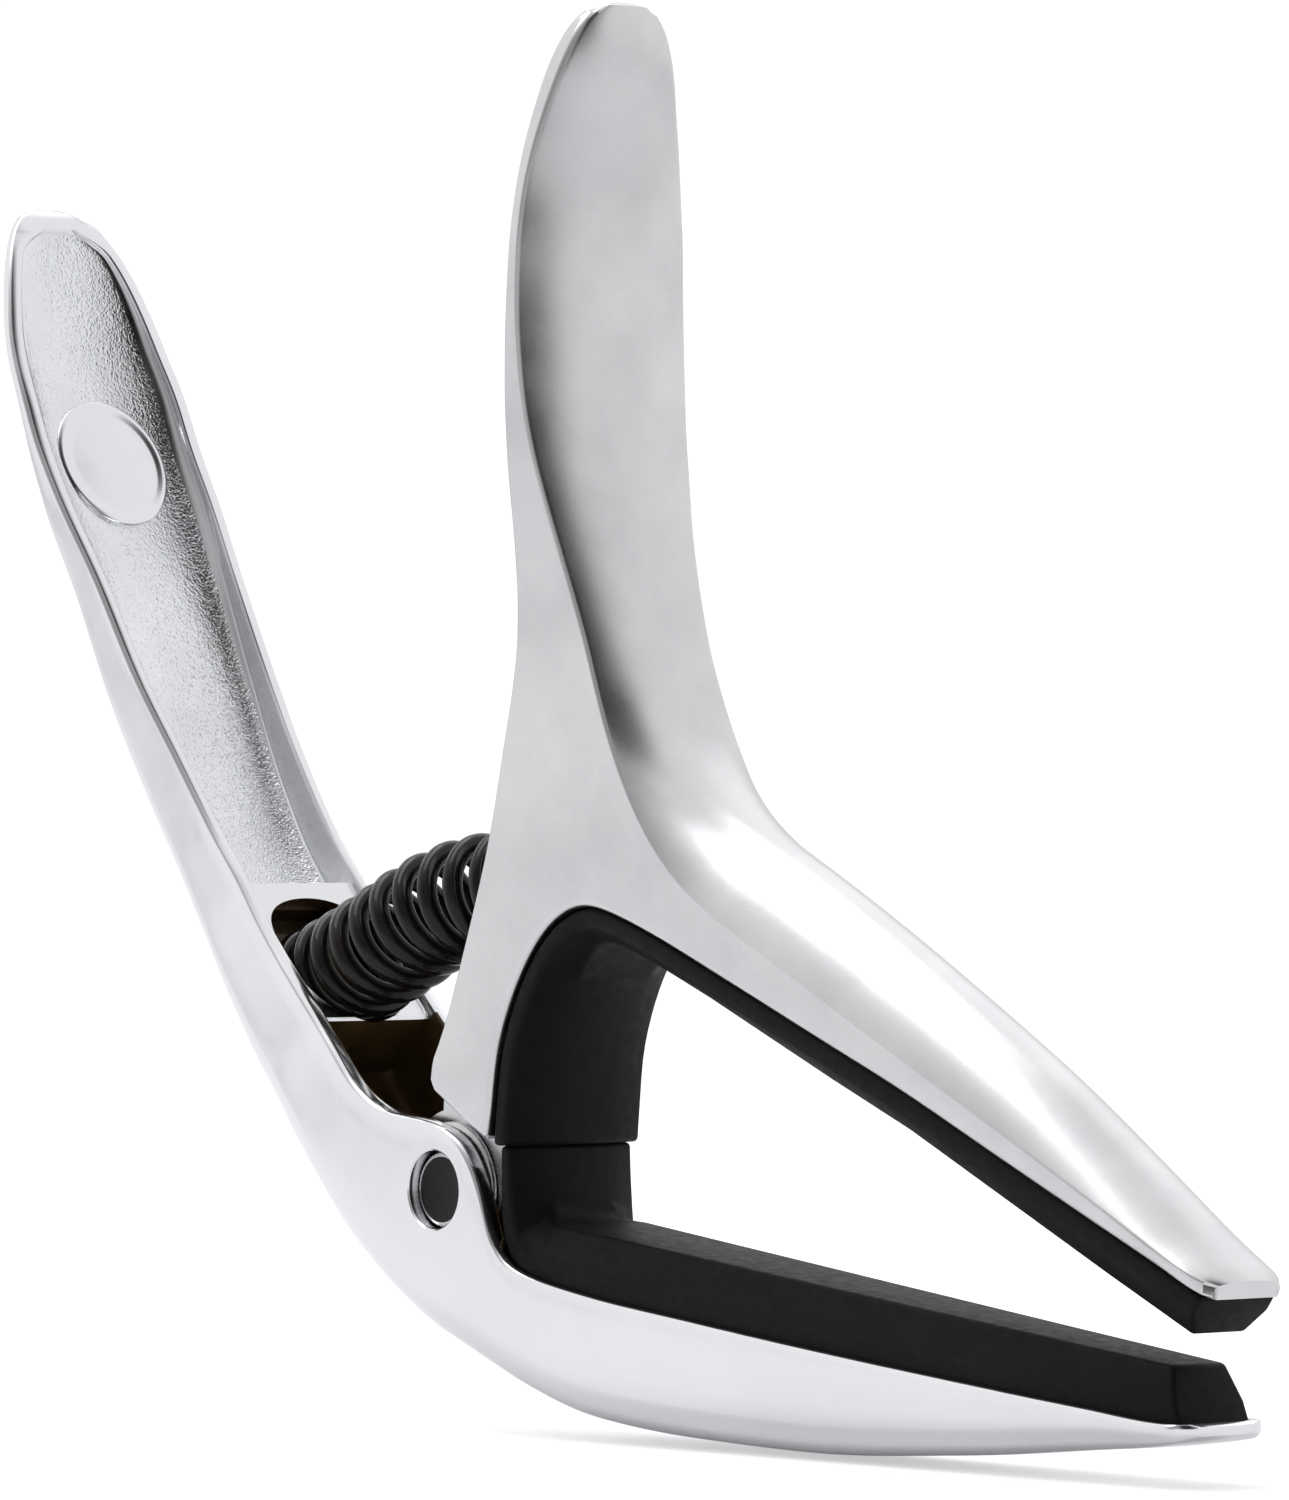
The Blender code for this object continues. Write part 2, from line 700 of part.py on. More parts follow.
def chrome():
    return principled("polished_casting", (0.80, 0.81, 0.83), 1.0, 0.12)


def satin():
    return principled("satin_casting", (0.70, 0.71, 0.73), 1.0, 0.32)


def black_steel():
    return principled("black_steel", (0.02, 0.02, 0.022), 0.6, 0.3)


def bright_steel():
    return principled("bright_steel", (0.62, 0.63, 0.65), 1.0, 0.25)


def rubber():
    return principled("pad_rubber", (0.02, 0.019, 0.018), 0.0, 0.65)


def main():
    clear_scene()
    pad = rubber()
    black = black_steel()
    steel = bright_steel()
    lower_arm(chrome())
    upper_arm(satin())
    pin(black)
    washer("pivot_washer_front", -1, steel)
    washer("pivot_washer_back", 1, steel)
    spring(black)
    bend = filled_in(UPPER_PAD_RIBS[:11], 4.0, middle_of_rib)
    ribbed("upper_pad", bend + list(UPPER_PAD_RIBS[11:]), pad_section, pad)
    ribbed("lower_pad", LOWER_PAD_RIBS, pad_section, pad)


main()
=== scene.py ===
"""Looks of the trigger-style guitar capo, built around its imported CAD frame.

X runs along the jaws, Y across them and Z up. Shapes are in millimetres about the hinge axis,
and placed() turns them into the frame's metres.
"""

import math

import bmesh
import bpy
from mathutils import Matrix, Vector
from mathutils.geometry import delaunay_2d_cdt

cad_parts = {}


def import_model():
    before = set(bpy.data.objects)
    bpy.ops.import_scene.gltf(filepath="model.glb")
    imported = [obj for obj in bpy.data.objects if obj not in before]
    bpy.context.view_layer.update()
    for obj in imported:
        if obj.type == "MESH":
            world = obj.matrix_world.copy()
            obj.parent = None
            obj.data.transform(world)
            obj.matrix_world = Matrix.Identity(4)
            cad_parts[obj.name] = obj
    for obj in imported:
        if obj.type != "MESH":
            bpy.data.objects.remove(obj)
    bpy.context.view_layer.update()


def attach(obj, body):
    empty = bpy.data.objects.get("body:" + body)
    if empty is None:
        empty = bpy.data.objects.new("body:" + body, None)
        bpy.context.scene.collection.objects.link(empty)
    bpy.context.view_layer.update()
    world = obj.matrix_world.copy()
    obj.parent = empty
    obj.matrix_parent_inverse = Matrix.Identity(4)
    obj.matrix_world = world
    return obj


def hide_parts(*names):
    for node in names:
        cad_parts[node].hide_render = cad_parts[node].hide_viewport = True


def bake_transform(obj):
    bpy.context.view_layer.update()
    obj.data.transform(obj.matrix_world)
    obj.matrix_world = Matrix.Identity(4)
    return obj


MM = 0.001
HINGE_X = -9.225
HINGE_Z = 14.699

# Hinge
PIN_RADIUS = 2.37
PIN_HOLE_RADIUS = 2.45
PIN_HALF_LENGTH = 5.12
CHEEK_HALF_WIDTH = 5.8
KNUCKLE_RADIUS = 5.0
KNUCKLE_HALF_WIDTH = 3.95
WASHER_RADIUS = 4.2
WASHER_INNER = 4.05
WASHER_OUTER = 4.45

# Spring. Its axis passes through these points, from the lower arm's seat to the upper arm's pocket
COIL_RADIUS = 3.25
WIRE_RADIUS = 0.65
COIL_TURNS = 11
FIRST_PITCH = 1.9
SPRING_AXIS = (
    (-18.5, 12.33),
    (-14.57, 13.75),
    (-10.8, 15.35),
    (-6.95, 17.04),
    (-4.35, 17.82),
    (-1.9, 18.25),
    (6.2, 19.2),
)

# Lower arm, tip of the lever first. Each rib joins the back to the rim, and each row is
# back x, back z, rim x, rim z, width, trough depth, wall, squareness of the trough, corner radius
# and crown of the back
LOWER_RIBS = (
    (-48.25, 63.35, -47.95, 63.5, 1.8, 0.02, 0.60, 2.5, 0.15, 0.05),
    (-48.2, 63.2, -47.75, 63.4, 3.6, 0.02, 0.60, 2.5, 0.3, 0.1),
    (-48.0, 62.85, -47.3, 63.1, 5.2, 0.02, 0.80, 2.6, 0.35, 0.2),
    (-47.7, 62.35, -46.92, 62.65, 6.4, 0.03, 0.90, 2.6, 0.4, 0.4),
    (-47.5, 61.95, -46.7, 62.25, 7.1, 0.05, 2.60, 3.0, 0.4, 0.45),
    (-47.35, 61.65, -46.6, 61.95, 7.5, 0.28, 2.30, 3.0, 0.4, 0.5),
    (-47.1, 61.1, -46.3, 61.4, 8.2, 0.45, 1.60, 2.8, 0.45, 0.65),
    (-46.7, 60.2, -45.8, 60.5, 9.2, 0.55, 1.15, 2.6, 0.5, 0.8),
    (-45.5, 57.2, -44.5, 57.5, 11.3, 0.90, 1.10, 2.15, 0.5, 1.2),
    (-44.2, 53.8, -43.2, 54.2, 12.8, 1.25, 1.10, 2.05, 0.6, 1.4),
    (-42.5, 50.4, -41.4, 50.8, 13.5, 1.50, 1.10, 2.0, 0.7, 1.4),
    (-41.3, 47.1, -40.0, 47.8, 13.6, 1.70, 1.10, 2.0, 0.8, 1.3),
    (-40.0, 43.8, -38.1, 44.6, 13.5, 1.90, 1.05, 2.05, 1.0, 1.1),
    (-36.9, 37.2, -34.2, 38.4, 12.4, 2.10, 1.00, 2.8, 1.0, 0.8),
    (-33.9, 30.7, -30.5, 32.3, 11.8, 2.30, 1.00, 4.0, 1.0, 0.6),
    (-30.4, 24.2, -26.5, 26.6, 10.8, 2.80, 0.95, 5.0, 1.1, 0.5),
    (-27.0, 18.9, -22.85, 21.8, 10.4, 3.20, 0.90, 5.0, 1.2, 0.4),
    (-25.25, 16.15, -20.75, 19.5, 10.4, 3.30, 0.90, 5.0, 1.3, 0.4),
    (-25.05, 15.85, -20.5, 19.2, 10.4, 0.60, 0.90, 9.0, 1.3, 0.4),
    (-22.9, 12.6, -18.15, 16.4, 10.7, 0.60, 0.95, 9.0, 1.5, 0.4),
    (-18.0, 6.2, -12.6, 10.8, 11.1, 0.60, 1.15, 9.0, 1.8, 0.3),
    (-17.85, 6.05, -12.45, 10.65, 11.1, 0.74, 1.15, 9.0, 1.8, 0.3),
    (-17.75, 5.95, -12.35, 10.55, 11.1, 5.90, 1.15, 14.0, 1.8, 0.3),
    (-16.1, 3.85, -10.6, 8.9, 11.35, 6.40, 1.20, 14.0, 2.0, 0.3),
    (-12.2, -0.4, -7.3, 5.85, 11.6, 7.00, 1.25, 14.0, 2.0, 0.2),
    (-9.9, -2.75, -4.4, 4.65, 11.6, 8.10, 1.25, 14.0, 2.0, 0.2),
    (-7.5, -4.7, -1.6, 4.4, 11.6, 9.20, 1.25, 14.0, 2.0, 0.2),
    (-1.6, -8.45, 2.3, 3.2, 11.6, 10.30, 1.25, 14.0, 2.2, 0.1),
    (2.05, -9.98, 4.4, 0.2, 11.5, 8.50, 1.25, 14.0, 2.4, 0.1),
    (4.8, -11.13, 5.3, -2.8, 11.25, 6.30, 1.20, 14.0, 2.5, 0.1),
    (5.25, -11.3, 5.6, -3.3, 11.2, 0.60, 0.65, 10.0, 2.5, 0.1),
    (6.6, -11.84, 6.6, -4.3, 11.1, 0.60, 0.65, 10.0, 2.5, 0.1),
    (13.2, -13.45, 13.4, -5.9, 10.65, 0.60, 0.65, 10.0, 2.2, 0.2),
    (22.0, -14.2, 22.6, -7.05, 10.05, 0.60, 0.65, 10.0, 2.0, 0.2),
    (33.2, -14.5, 33.9, -8.35, 9.3, 0.60, 0.65, 10.0, 1.8, 0.2),
    (44.4, -14.0, 44.9, -9.5, 8.5, 0.60, 0.65, 10.0, 1.6, 0.2),
    (56.0, -13.1, 56.2, -10.6, 7.75, 0.60, 0.65, 10.0, 1.4, 0.1),
    (63.4, -12.35, 63.5, -11.2, 7.25, 0.60, 0.65, 10.0, 0.6, 0.1),
    (63.8, -12.25, 63.85, -11.2, 7.0, 0.60, 0.65, 10.0, 0.5, 0.1),
    (63.9, -12.22, 63.95, -11.2, 6.8, 0.03, 0.65, 10.0, 0.5, 0.1),
    (64.2, -12.1, 64.25, -11.25, 5.9, 0.03, 0.65, 4.0, 0.4, 0.1),
    (64.45, -11.95, 64.5, -11.4, 4.6, 0.03, 0.65, 3.0, 0.25, 0.0),
)
LOWER_STEP = 0.6
LOWER_SOFTNESS = 1.1
SHAPE_COLUMNS = (0, 1, 2, 3, 4, 8, 9)
LEVER_END_X = -25.1      # back x where the lever's trough ends at the spring seat
# Trough faces between these back x that are deeper than POCKET_FROM_DEPTH get the dark brown painted shade
POCKET_BACK_X = (-18.1, 5.1)
CAST_FROM_DEPTH = 0.2    # the trough has its cast skin where it is deeper than this
POCKET_FROM_DEPTH = 1.5
RIM_OUTER = 0.42
RIM_INNER = 0.24
LIP_POINTS = 5
FLOOR_POINTS = 20
CAST_POINTS = 13         # points of the trough's floor with the cast skin, on each side of its middle

# Spring seat: a well in line with the spring, round below and square above, and a slot deeper than
# the well's floor
WELL_FLOOR = (-19.34, 12.0)
WELL_ANGLE = math.radians(21)
WELL_RADIUS = 4.05
WELL_HEIGHT = 5.8
WELL_SQUARENESS = 0.4
WELL_LENGTH = 9.0
SLOT_BOTTOM = 3.84
SLOT_TOP = 5.5
SLOT_HALF_WIDTH = 3.6
SLOT_DEPTH = 2.1
SLOT_CORNER = 0.8

# Boss on the lever's trough
BOSS_CENTRE = (-41.0, 46.3)
BOSS_ANGLE = math.radians(26)
BOSS_HALF_WIDTH = 4.3
BOSS_HALF_LENGTH = 4.6

# Upper arm's outline. The front edge's rows are x, z and the crown of the front between its two edges
FRONT_EDGE = (
    (11.9, 73.0, 0.1),
    (11.3, 69.5, 0.6),
    (10.4, 66.0, 0.8),
    (9.6, 60.9, 0.9),
    (9.4, 54.8, 0.9),
    (9.8, 48.7, 0.8),
    (11.1, 42.5, 0.7),
    (13.0, 36.4, 0.6),
    (15.2, 30.3, 0.6),
    (16.6, 27.2, 1.3),
    (18.3, 24.2, 2.4),
    (20.5, 21.3, 3.4),
    (23.4, 18.7, 4.0),
    (28.0, 16.1, 4.3),
    (33.2, 13.5, 4.2),
    (41.8, 9.2, 3.8),
    (50.1, 5.1, 3.1),
    (58.3, 0.9, 1.8),
    (63.0, -1.65, 1.1),
    (66.3, -3.3, 0.5),
)
PAD_SEAT = (
    (66.2, -4.1),
    (58.3, -0.4),
    (50.1, 3.4),
    (41.8, 7.2),
    (35.0, 10.0),
    (24.5, 14.3),
    (19.5, 16.3),
    (15.7, 17.5),
    (13.8, 17.85),
    (11.9, 17.35),
    (10.0, 16.1),
    (8.2, 13.9),
    (6.8, 11.3),
    (5.8, 8.2),
    (5.4, 5.1),
    (5.1, 3.5),
)
LEG_END = (
    (4.9, 3.3),
    (3.0, 4.35),
    (0.0, 6.06),
)
BACK_EDGE = (
    (-0.45, 6.8),
    (-0.3, 8.0),
    (0.5, 9.4),
    (2.2, 14.2),
    (3.9, 19.3),
    (4.75, 22.2),
    (5.85, 27.3),
    (6.75, 31.6),
    (7.35, 36.5),
    (7.65, 45.7),
    (8.1, 54.8),
    (8.6, 63.4),
    (9.2, 69.0),
    (10.2, 72.9),
)
LEVER_TIP = (
    (11.6, 73.2),
    (11.1, 73.3),
    (10.55, 73.16),
)
# Full width of the upper arm, by height on the lever and the leg, and by length on the jaw
UPPER_WIDTH_BY_Z = (
    (3.0, 11.7),
    (8.0, 11.6),
    (14.0, 11.1),
    (20.0, 10.7),
    (27.0, 10.35),
    (33.0, 10.1),
    (36.0, 10.4),
    (39.5, 11.1),
    (45.6, 12.7),
    (50.0, 13.4),
    (54.0, 13.6),
    (58.0, 13.45),
    (61.0, 12.9),
    (64.0, 11.9),
    (67.0, 10.4),
    (69.5, 8.9),
    (71.5, 7.1),
    (72.5, 5.5),
    (73.0, 4.1),
    (73.2, 2.7),
    (73.3, 1.2),
)
UPPER_WIDTH_BY_X = (
    (14.0, 10.8),
    (20.0, 10.6),
    (64.4, 6.85),
    (65.3, 6.5),
    (65.9, 5.9),
    (66.2, 5.2),
    (66.35, 4.5),
)
JAW_FROM_X = 14.0        # the width follows z up to here, and x from JAW_ONLY_FROM_X on
JAW_ONLY_FROM_X = 24.0
UPPER_STEP = 0.5
UPPER_SOFTNESS = 1.6
CROWN_SOFTNESS = 3.5
UPPER_COLUMNS = 26
COLUMN_CROWDING = 0.82   # the columns stand closer towards the front's edges
UPPER_EDGE = 0.38        # radius between a side and the front or back
TIP_EDGE = 0.6           # the same at the lever's tip, from TIP_FROM_Z over TIP_LENGTH
TIP_FROM_Z = 62.0
TIP_LENGTH = 9.0
JAW_END_EDGE = 0.2       # the same at the jaw's end, from JAW_END_FROM_X over JAW_END_LENGTH
JAW_END_FROM_X = 62.0
JAW_END_LENGTH = 3.0
CROWN_FULLNESS = 0.3

# Neck between the knuckle and the body: x where its back and its front leave the knuckle, and its
# outline between them
NECK_BACK_X = -1.2
NECK_FRONT_X = 4.9
NECK = (
    (4.85, 9.0),
    (1.2, 9.0),
    (0.5, 7.4),
    (-1.15, 6.0),
)

# Spring pocket in the back of the upper arm: x of its floor, z, half width
POCKET = (
    (6.6, 12.8, 3.6),
    (7.6, 14.8, 4.2),
    (7.9, 23.6, 4.2),
    (7.2, 27.5, 3.4),
)
POCKET_MOUTH_X = -3.0
POCKET_CORNER = 0.6

# Pads. Each rib joins the base to the free face, and each row is
# base x, base z, face x, face z, width at the base, height of the straight wall, width of the free face
UPPER_PAD_RIBS = (
    (5.35, 2.9, 7.4, 2.9, 10.9, 1.2, 4.4),
    (5.6, 5.1, 7.6, 5.1, 10.85, 1.2, 4.6),
    (5.98, 8.2, 8.05, 7.9, 10.75, 1.2, 4.7),
    (6.98, 11.25, 8.95, 10.6, 10.6, 1.2, 4.9),
    (8.35, 13.75, 10.0, 12.5, 10.45, 1.15, 5.3),
    (10.13, 15.93, 11.3, 13.95, 10.3, 1.1, 6.1),
    (11.97, 17.15, 12.6, 15.05, 10.1, 1.1, 6.8),
    (13.8, 17.65, 13.7, 15.6, 10.0, 1.1, 7.1),
    (15.65, 17.3, 15.0, 15.4, 9.95, 1.1, 7.1),
    (19.4, 16.1, 18.65, 14.2, 9.9, 1.1, 7.1),
    (24.4, 14.1, 23.6, 12.2, 9.5, 1.1, 6.75),
    (34.95, 9.8, 34.0, 7.6, 8.6, 1.15, 5.95),
    (41.75, 7.0, 40.75, 4.75, 8.05, 1.2, 5.5),
    (50.05, 3.2, 49.0, 0.8, 7.35, 1.2, 5.0),
    (58.25, -0.6, 57.15, -3.1, 6.7, 1.2, 4.5),
    (65.6, -4.0, 63.9, -6.25, 6.1, 1.2, 4.1),
)
UPPER_PAD_BEND = 11      # this many of the first rows are curved
LOWER_PAD_RIBS = (
    (5.5, 2.88, 7.0, 2.88, 9.9, 0.9, 4.3),
    (5.5, 0.3, 7.35, 0.3, 9.9, 1.0, 4.3),
    (5.5, -1.7, 7.65, -0.9, 9.85, 1.2, 4.6),
    (6.15, -4.2, 7.95, -1.5, 9.6, 1.5, 5.6),
    (7.5, -5.2, 8.4, -1.8, 9.5, 1.6, 6.4),
    (9.2, -5.65, 9.5, -1.93, 9.4, 1.6, 7.2),
    (15.6, -6.7, 16.0, -2.68, 9.0, 1.6, 6.8),
    (33.3, -8.75, 33.8, -4.73, 7.8, 1.6, 5.7),
    (50.3, -10.5, 50.3, -6.63, 6.6, 1.6, 4.8),
    (63.75, -11.6, 62.3, -8.01, 5.65, 1.5, 4.3),
)
LOWER_PAD_BEND = 6
PAD_STEP = 1.2
PAD_SOFTNESS = 0.9
PAD_EDGE = 0.32

# Camera, about the hinge
VIEW_AZIMUTH = math.radians(49.6)
VIEW_PITCH = math.radians(0.326)
VIEW_DISTANCE = 550.0
VIEW_ASIDE = 8.72
VIEW_HEIGHT = 24.19
VIEW_LENS = 211.2

# Studio
FLOOR_DROP = 0.0003      # metres, so that the belly doesn't share its plane with the floor
BACKDROP = 1.2           # strength of the world where the camera sees it directly


# Curves and tables

def placed(x, y, z):
    """A point about the hinge, in the frame's metres."""
    return Vector(((x + HINGE_X) * MM, y * MM, (z + HINGE_Z) * MM))


def slopes(keys, values):
    """Slopes of a curve through the values that never overshoots them."""
    steps = [b - a for a, b in zip(keys, keys[1:])]
    rises = [(b - a) / step for a, b, step in zip(values, values[1:], steps)]
    found = [rises[0]]
    for left, right, h0, h1 in zip(rises, rises[1:], steps, steps[1:]):
        if left * right <= 0:
            found.append(0.0)
            continue
        w0 = 2 * h1 + h0
        w1 = h1 + 2 * h0
        found.append((w0 + w1) / (w0 / left + w1 / right))
    return found + [rises[-1]]


def curve(keys, values):
    """The function of a smooth curve through values at keys."""
    slope = slopes(keys, values)

    def at(key):
        key = min(max(key, keys[0]), keys[-1])
        i = max(k for k in range(len(keys) - 1) if keys[k] <= key or k == 0)
        h = keys[i + 1] - keys[i]
        t = (key - keys[i]) / h
        a = values[i] * (1 + 2 * t) * (1 - t) ** 2
        b = slope[i] * h * t * (1 - t) ** 2
        c = values[i + 1] * t * t * (3 - 2 * t)
        d = slope[i + 1] * h * t * t * (t - 1)
        return a + b + c + d

    return at


def distances(rows, across):
    """Distance along a run of rows, by the point that across picks from each."""
    found = [0.0]
    for a, b in zip(rows, rows[1:]):
        found.append(found[-1] + math.dist(across(a), across(b)))
    return found


def filled_in(rows, step, across):
    """The rows with smoothly curved ones between them, so that none is further than step from the next."""
    keys = distances(rows, across)
    columns = [curve(keys, column) for column in zip(*rows)]
    found = []
    for a, b in zip(keys, keys[1:]):
        count = max(1, math.ceil((b - a) / step))
        for k in range(count):
            found.append(tuple(column(a + (b - a) * k / count) for column in columns))
    return found + [rows[-1]]


def softened(rows, radius, columns, across, ends):
    """The rows with these columns averaged along the run over radius, except towards its ends."""
    keys = distances(rows, across)
    spans = [(b - a) / 2 for a, b in zip([keys[0]] + keys[:-1], keys[1:] + [keys[-1]])]
    found = []
    for i, row in enumerate(rows):
        near = [j for j in range(len(rows)) if abs(keys[j] - keys[i]) < 3 * radius]
        weights = [spans[j] * math.exp(-((keys[j] - keys[i]) / radius) ** 2) for j in near]
        total = sum(weights)
        hold = min(keys[i], keys[-1] - keys[i]) / ends
        share = min(max(hold, 0), 1)
        values = list(row)
        for c in columns:
            mean = sum(w * rows[j][c] for w, j in zip(weights, near)) / total
            values[c] = row[c] + (mean - row[c]) * share
        found.append(tuple(values))
    return found


def middle_of_rib(row):
    return (row[0] + row[2]) / 2, (row[1] + row[3]) / 2


def point_of(row):
    return row[0], row[1]


# Meshes

def mesh_object(name, bm, materials):
    bmesh.ops.recalc_face_normals(bm, faces=bm.faces)
    mesh = bpy.data.meshes.new(name)
    bm.to_mesh(mesh)
    bm.free()
    for material in materials:
        mesh.materials.append(material)
    obj = bpy.data.objects.new(name, mesh)
    bpy.context.scene.collection.objects.link(obj)
    return obj


def loft(name, rings, materials, slot_of=None):
    """A closed body through rings of points, its two ends filled. slot_of gives a face's material slot."""
    bm = bmesh.new()
    loops = [[bm.verts.new(point) for point in ring] for ring in rings]
    for k, (a, b) in enumerate(zip(loops, loops[1:])):
        for i in range(len(a)):
            j = (i + 1) % len(a)
            face = bm.faces.new((a[i], a[j], b[j], b[i]))
            face.material_index = slot_of(k, i) if slot_of else 0
    bm.faces.new(loops[0])
    bm.faces.new(loops[-1])
    return mesh_object(name, bm, materials)


def ribbed_rings(rows, section):
    """Rings that stand in the plane of each rib and the Y axis."""
    rings = []
    for row in rows:
        foot = Vector((row[0], row[1]))
        rib = Vector((row[2], row[3])) - foot
        up = rib.normalized()
        ring = []
        for y, n in section(row, rib.length):
            x, z = foot + up * n
            ring.append(placed(x, y, z))
        rings.append(ring)
    return rings


def whole(half):
    """A ring from its half on the +Y side, which starts and ends on the middle."""
    return half + [(-y, n) for y, n in half[-2:0:-1]]


def prism(name, outline, half_width, materials):
    near = [placed(x, -half_width, z) for x, z in outline]
    far = [placed(x, half_width, z) for x, z in outline]
    return loft(name, (near, far), materials)


def lathe(name, profile, count, materials):
    """A body turned about the hinge axis from (y, radius) points, closed on the axis or into a ring."""
    bm = bmesh.new()
    loops = []
    for k in range(count):
        a = 2 * math.pi * k / count
        loops.append([bm.verts.new(placed(r * math.cos(a), y, r * math.sin(a))) for y, r in profile])
    last = len(profile)
    for a, b in zip(loops, loops[1:] + loops[:1]):
        for i in range(last):
            j = (i + 1) % last
            if j or profile[0][1] > 0:
                bm.faces.new((a[i], a[j], b[j], b[i]))
    bmesh.ops.remove_doubles(bm, verts=bm.verts, dist=1e-7)
    return mesh_object(name, bm, materials)


def boolean(obj, other, operation):
    modifier = obj.modifiers.new(other.name, "BOOLEAN")
    modifier.operation = operation
    modifier.solver = "EXACT"
    modifier.object = other


def bevelled(obj, width, segments, angle):
    modifier = obj.modifiers.new("bevel", "BEVEL")
    modifier.width = width * MM
    modifier.segments = segments
    modifier.limit_method = "ANGLE"
    modifier.angle_limit = math.radians(angle)


def finished(obj, angle):
    """Applies the modifiers, removes their cutters and smooths the shading over edges flatter than angle."""
    others = [m.object for m in obj.modifiers if m.type == "BOOLEAN"]
    bpy.context.view_layer.update()
    evaluated = obj.evaluated_get(bpy.context.evaluated_depsgraph_get())
    mesh = bpy.data.meshes.new_from_object(evaluated)
    obj.modifiers.clear()
    obj.data = mesh
    for other in others:
        bpy.data.objects.remove(other)
    bm = bmesh.new()
    bm.from_mesh(mesh)
    bmesh.ops.remove_doubles(bm, verts=bm.verts, dist=2e-7)
    bmesh.ops.dissolve_degenerate(bm, edges=bm.edges, dist=2e-7)
    limit = math.radians(angle)
    for face in bm.faces:
        face.smooth = True
    for edge in bm.edges:
        edge.smooth = len(edge.link_faces) == 2 and edge.calc_face_angle(0) < limit
    bm.to_mesh(mesh)
    bm.free()
    return obj


# Lower arm

def arc(centre, radius, start, end, count):
    """Points of an arc, its end left out."""
    found = []
    for k in range(count):
        a = math.radians(start + (end - start) * k / count)
        found.append((centre[0] + radius * math.cos(a), centre[1] + radius * math.sin(a)))
    return found


def trough_section(row, depth):
    """Half a channel, from its back's middle round the rim to its floor's middle, and its mirror image."""
    width, trough, wall, square, corner, crown = row[4:]
    half = width / 2
    corner = min(corner, 0.8 * depth, 0.6 * half)
    outer = min(RIM_OUTER, 0.35 * depth, 0.45 * wall, 0.3 * half)
    lip = min(RIM_INNER, 0.3 * wall, 0.45 * trough)
    inner = max(half - wall, 0.3 * half)
    back = [((half - corner) * k / 8, 0.0) for k in range(8)]
    back += arc((half - corner, corner), corner, -90, 0, 9)
    points = [(y, n - crown * (1 - (y / half) ** 2) * (1 - n / corner)) for y, n in back]
    for k in range(4):
        points.append((half, corner + (depth - outer - corner) * k / 4))
    points += arc((half - outer, depth - outer), outer, 0, 90, 6)
    points += arc((inner + lip, depth - lip), lip, 90, 180, LIP_POINTS)
    for k in range(FLOOR_POINTS):
        a = math.radians(90 * k / (FLOOR_POINTS - 1))
        last = k == FLOOR_POINTS - 1
        y = 0.0 if last else inner * math.cos(a) ** (2 / square)
        points.append((y, depth - lip - (trough - lip) * math.sin(a) ** (2 / square)))
    return whole(points)


def in_the_well(y, height, forward):
    """A point beside and over the spring's axis, and forward of the well's floor."""
    ahead = Vector((math.cos(WELL_ANGLE), math.sin(WELL_ANGLE)))
    up = Vector((-math.sin(WELL_ANGLE), math.cos(WELL_ANGLE)))
    x, z = Vector(WELL_FLOOR) + ahead * forward + up * height
    return placed(x, y, z)


def well(materials):
    outline = []
    count = 72
    for k in range(count):
        a = 2 * math.pi * k / count
        height = WELL_RADIUS * math.sin(a)
        if 0 < k < count / 2:
            height = WELL_HEIGHT * math.sin(a) ** WELL_SQUARENESS
        outline.append((WELL_RADIUS * math.cos(a), height))
    rings = [[in_the_well(y, n, forward) for y, n in outline] for forward in (0.0, WELL_LENGTH)]
    return loft("spring_well", rings, materials)


def slot(materials):
    outline = (
        (-SLOT_HALF_WIDTH, SLOT_BOTTOM),
        (SLOT_HALF_WIDTH, SLOT_BOTTOM),
        (SLOT_HALF_WIDTH, SLOT_TOP - SLOT_CORNER),
        (SLOT_HALF_WIDTH - SLOT_CORNER, SLOT_TOP),
        (SLOT_CORNER - SLOT_HALF_WIDTH, SLOT_TOP),
        (-SLOT_HALF_WIDTH, SLOT_TOP - SLOT_CORNER),
    )
    rings = [[in_the_well(y, n, forward) for y, n in outline] for forward in (-SLOT_DEPTH, 0.5)]
    return loft("seat_slot", rings, materials)


def boss(materials):
    """A plain oval boss with a soft raised border. Each step is its size and its height."""
    steps = (
        (1.0, -0.6),
        (1.0, 0.25),
        (0.985, 0.36),
        (0.95, 0.43),
        (0.91, 0.45),
        (0.87, 0.42),
        (0.83, 0.36),
        (0.79, 0.33),
        (0.7, 0.36),
        (0.5, 0.43),
        (0.25, 0.48),
        (0.02, 0.5),
    )
    up = Vector((-math.sin(BOSS_ANGLE), math.cos(BOSS_ANGLE)))
    out = Vector((math.cos(BOSS_ANGLE), math.sin(BOSS_ANGLE)))
    rings = []
    for size, height in steps:
        ring = []
        for k in range(64):
            a = 2 * math.pi * k / 64
            x, z = Vector(BOSS_CENTRE) + up * size * BOSS_HALF_LENGTH * math.sin(a) + out * height
            ring.append(placed(x, size * BOSS_HALF_WIDTH * math.cos(a), z))
        rings.append(ring)
    return loft("lever_boss", rings, materials)


def pin_hole(name, materials):
    """The hinge's bore, slightly countersunk where it leaves the cheeks."""
    face = CHEEK_HALF_WIDTH
    profile = (
        (-face - 1.0, 0.0),
        (-face - 1.0, PIN_HOLE_RADIUS + 1.1),
        (-face + 0.1, PIN_HOLE_RADIUS),
        (face - 0.1, PIN_HOLE_RADIUS),
        (face + 1.0, PIN_HOLE_RADIUS + 1.1),
        (face + 1.0, 0.0),
    )
    return lathe(name, profile, 72, materials)


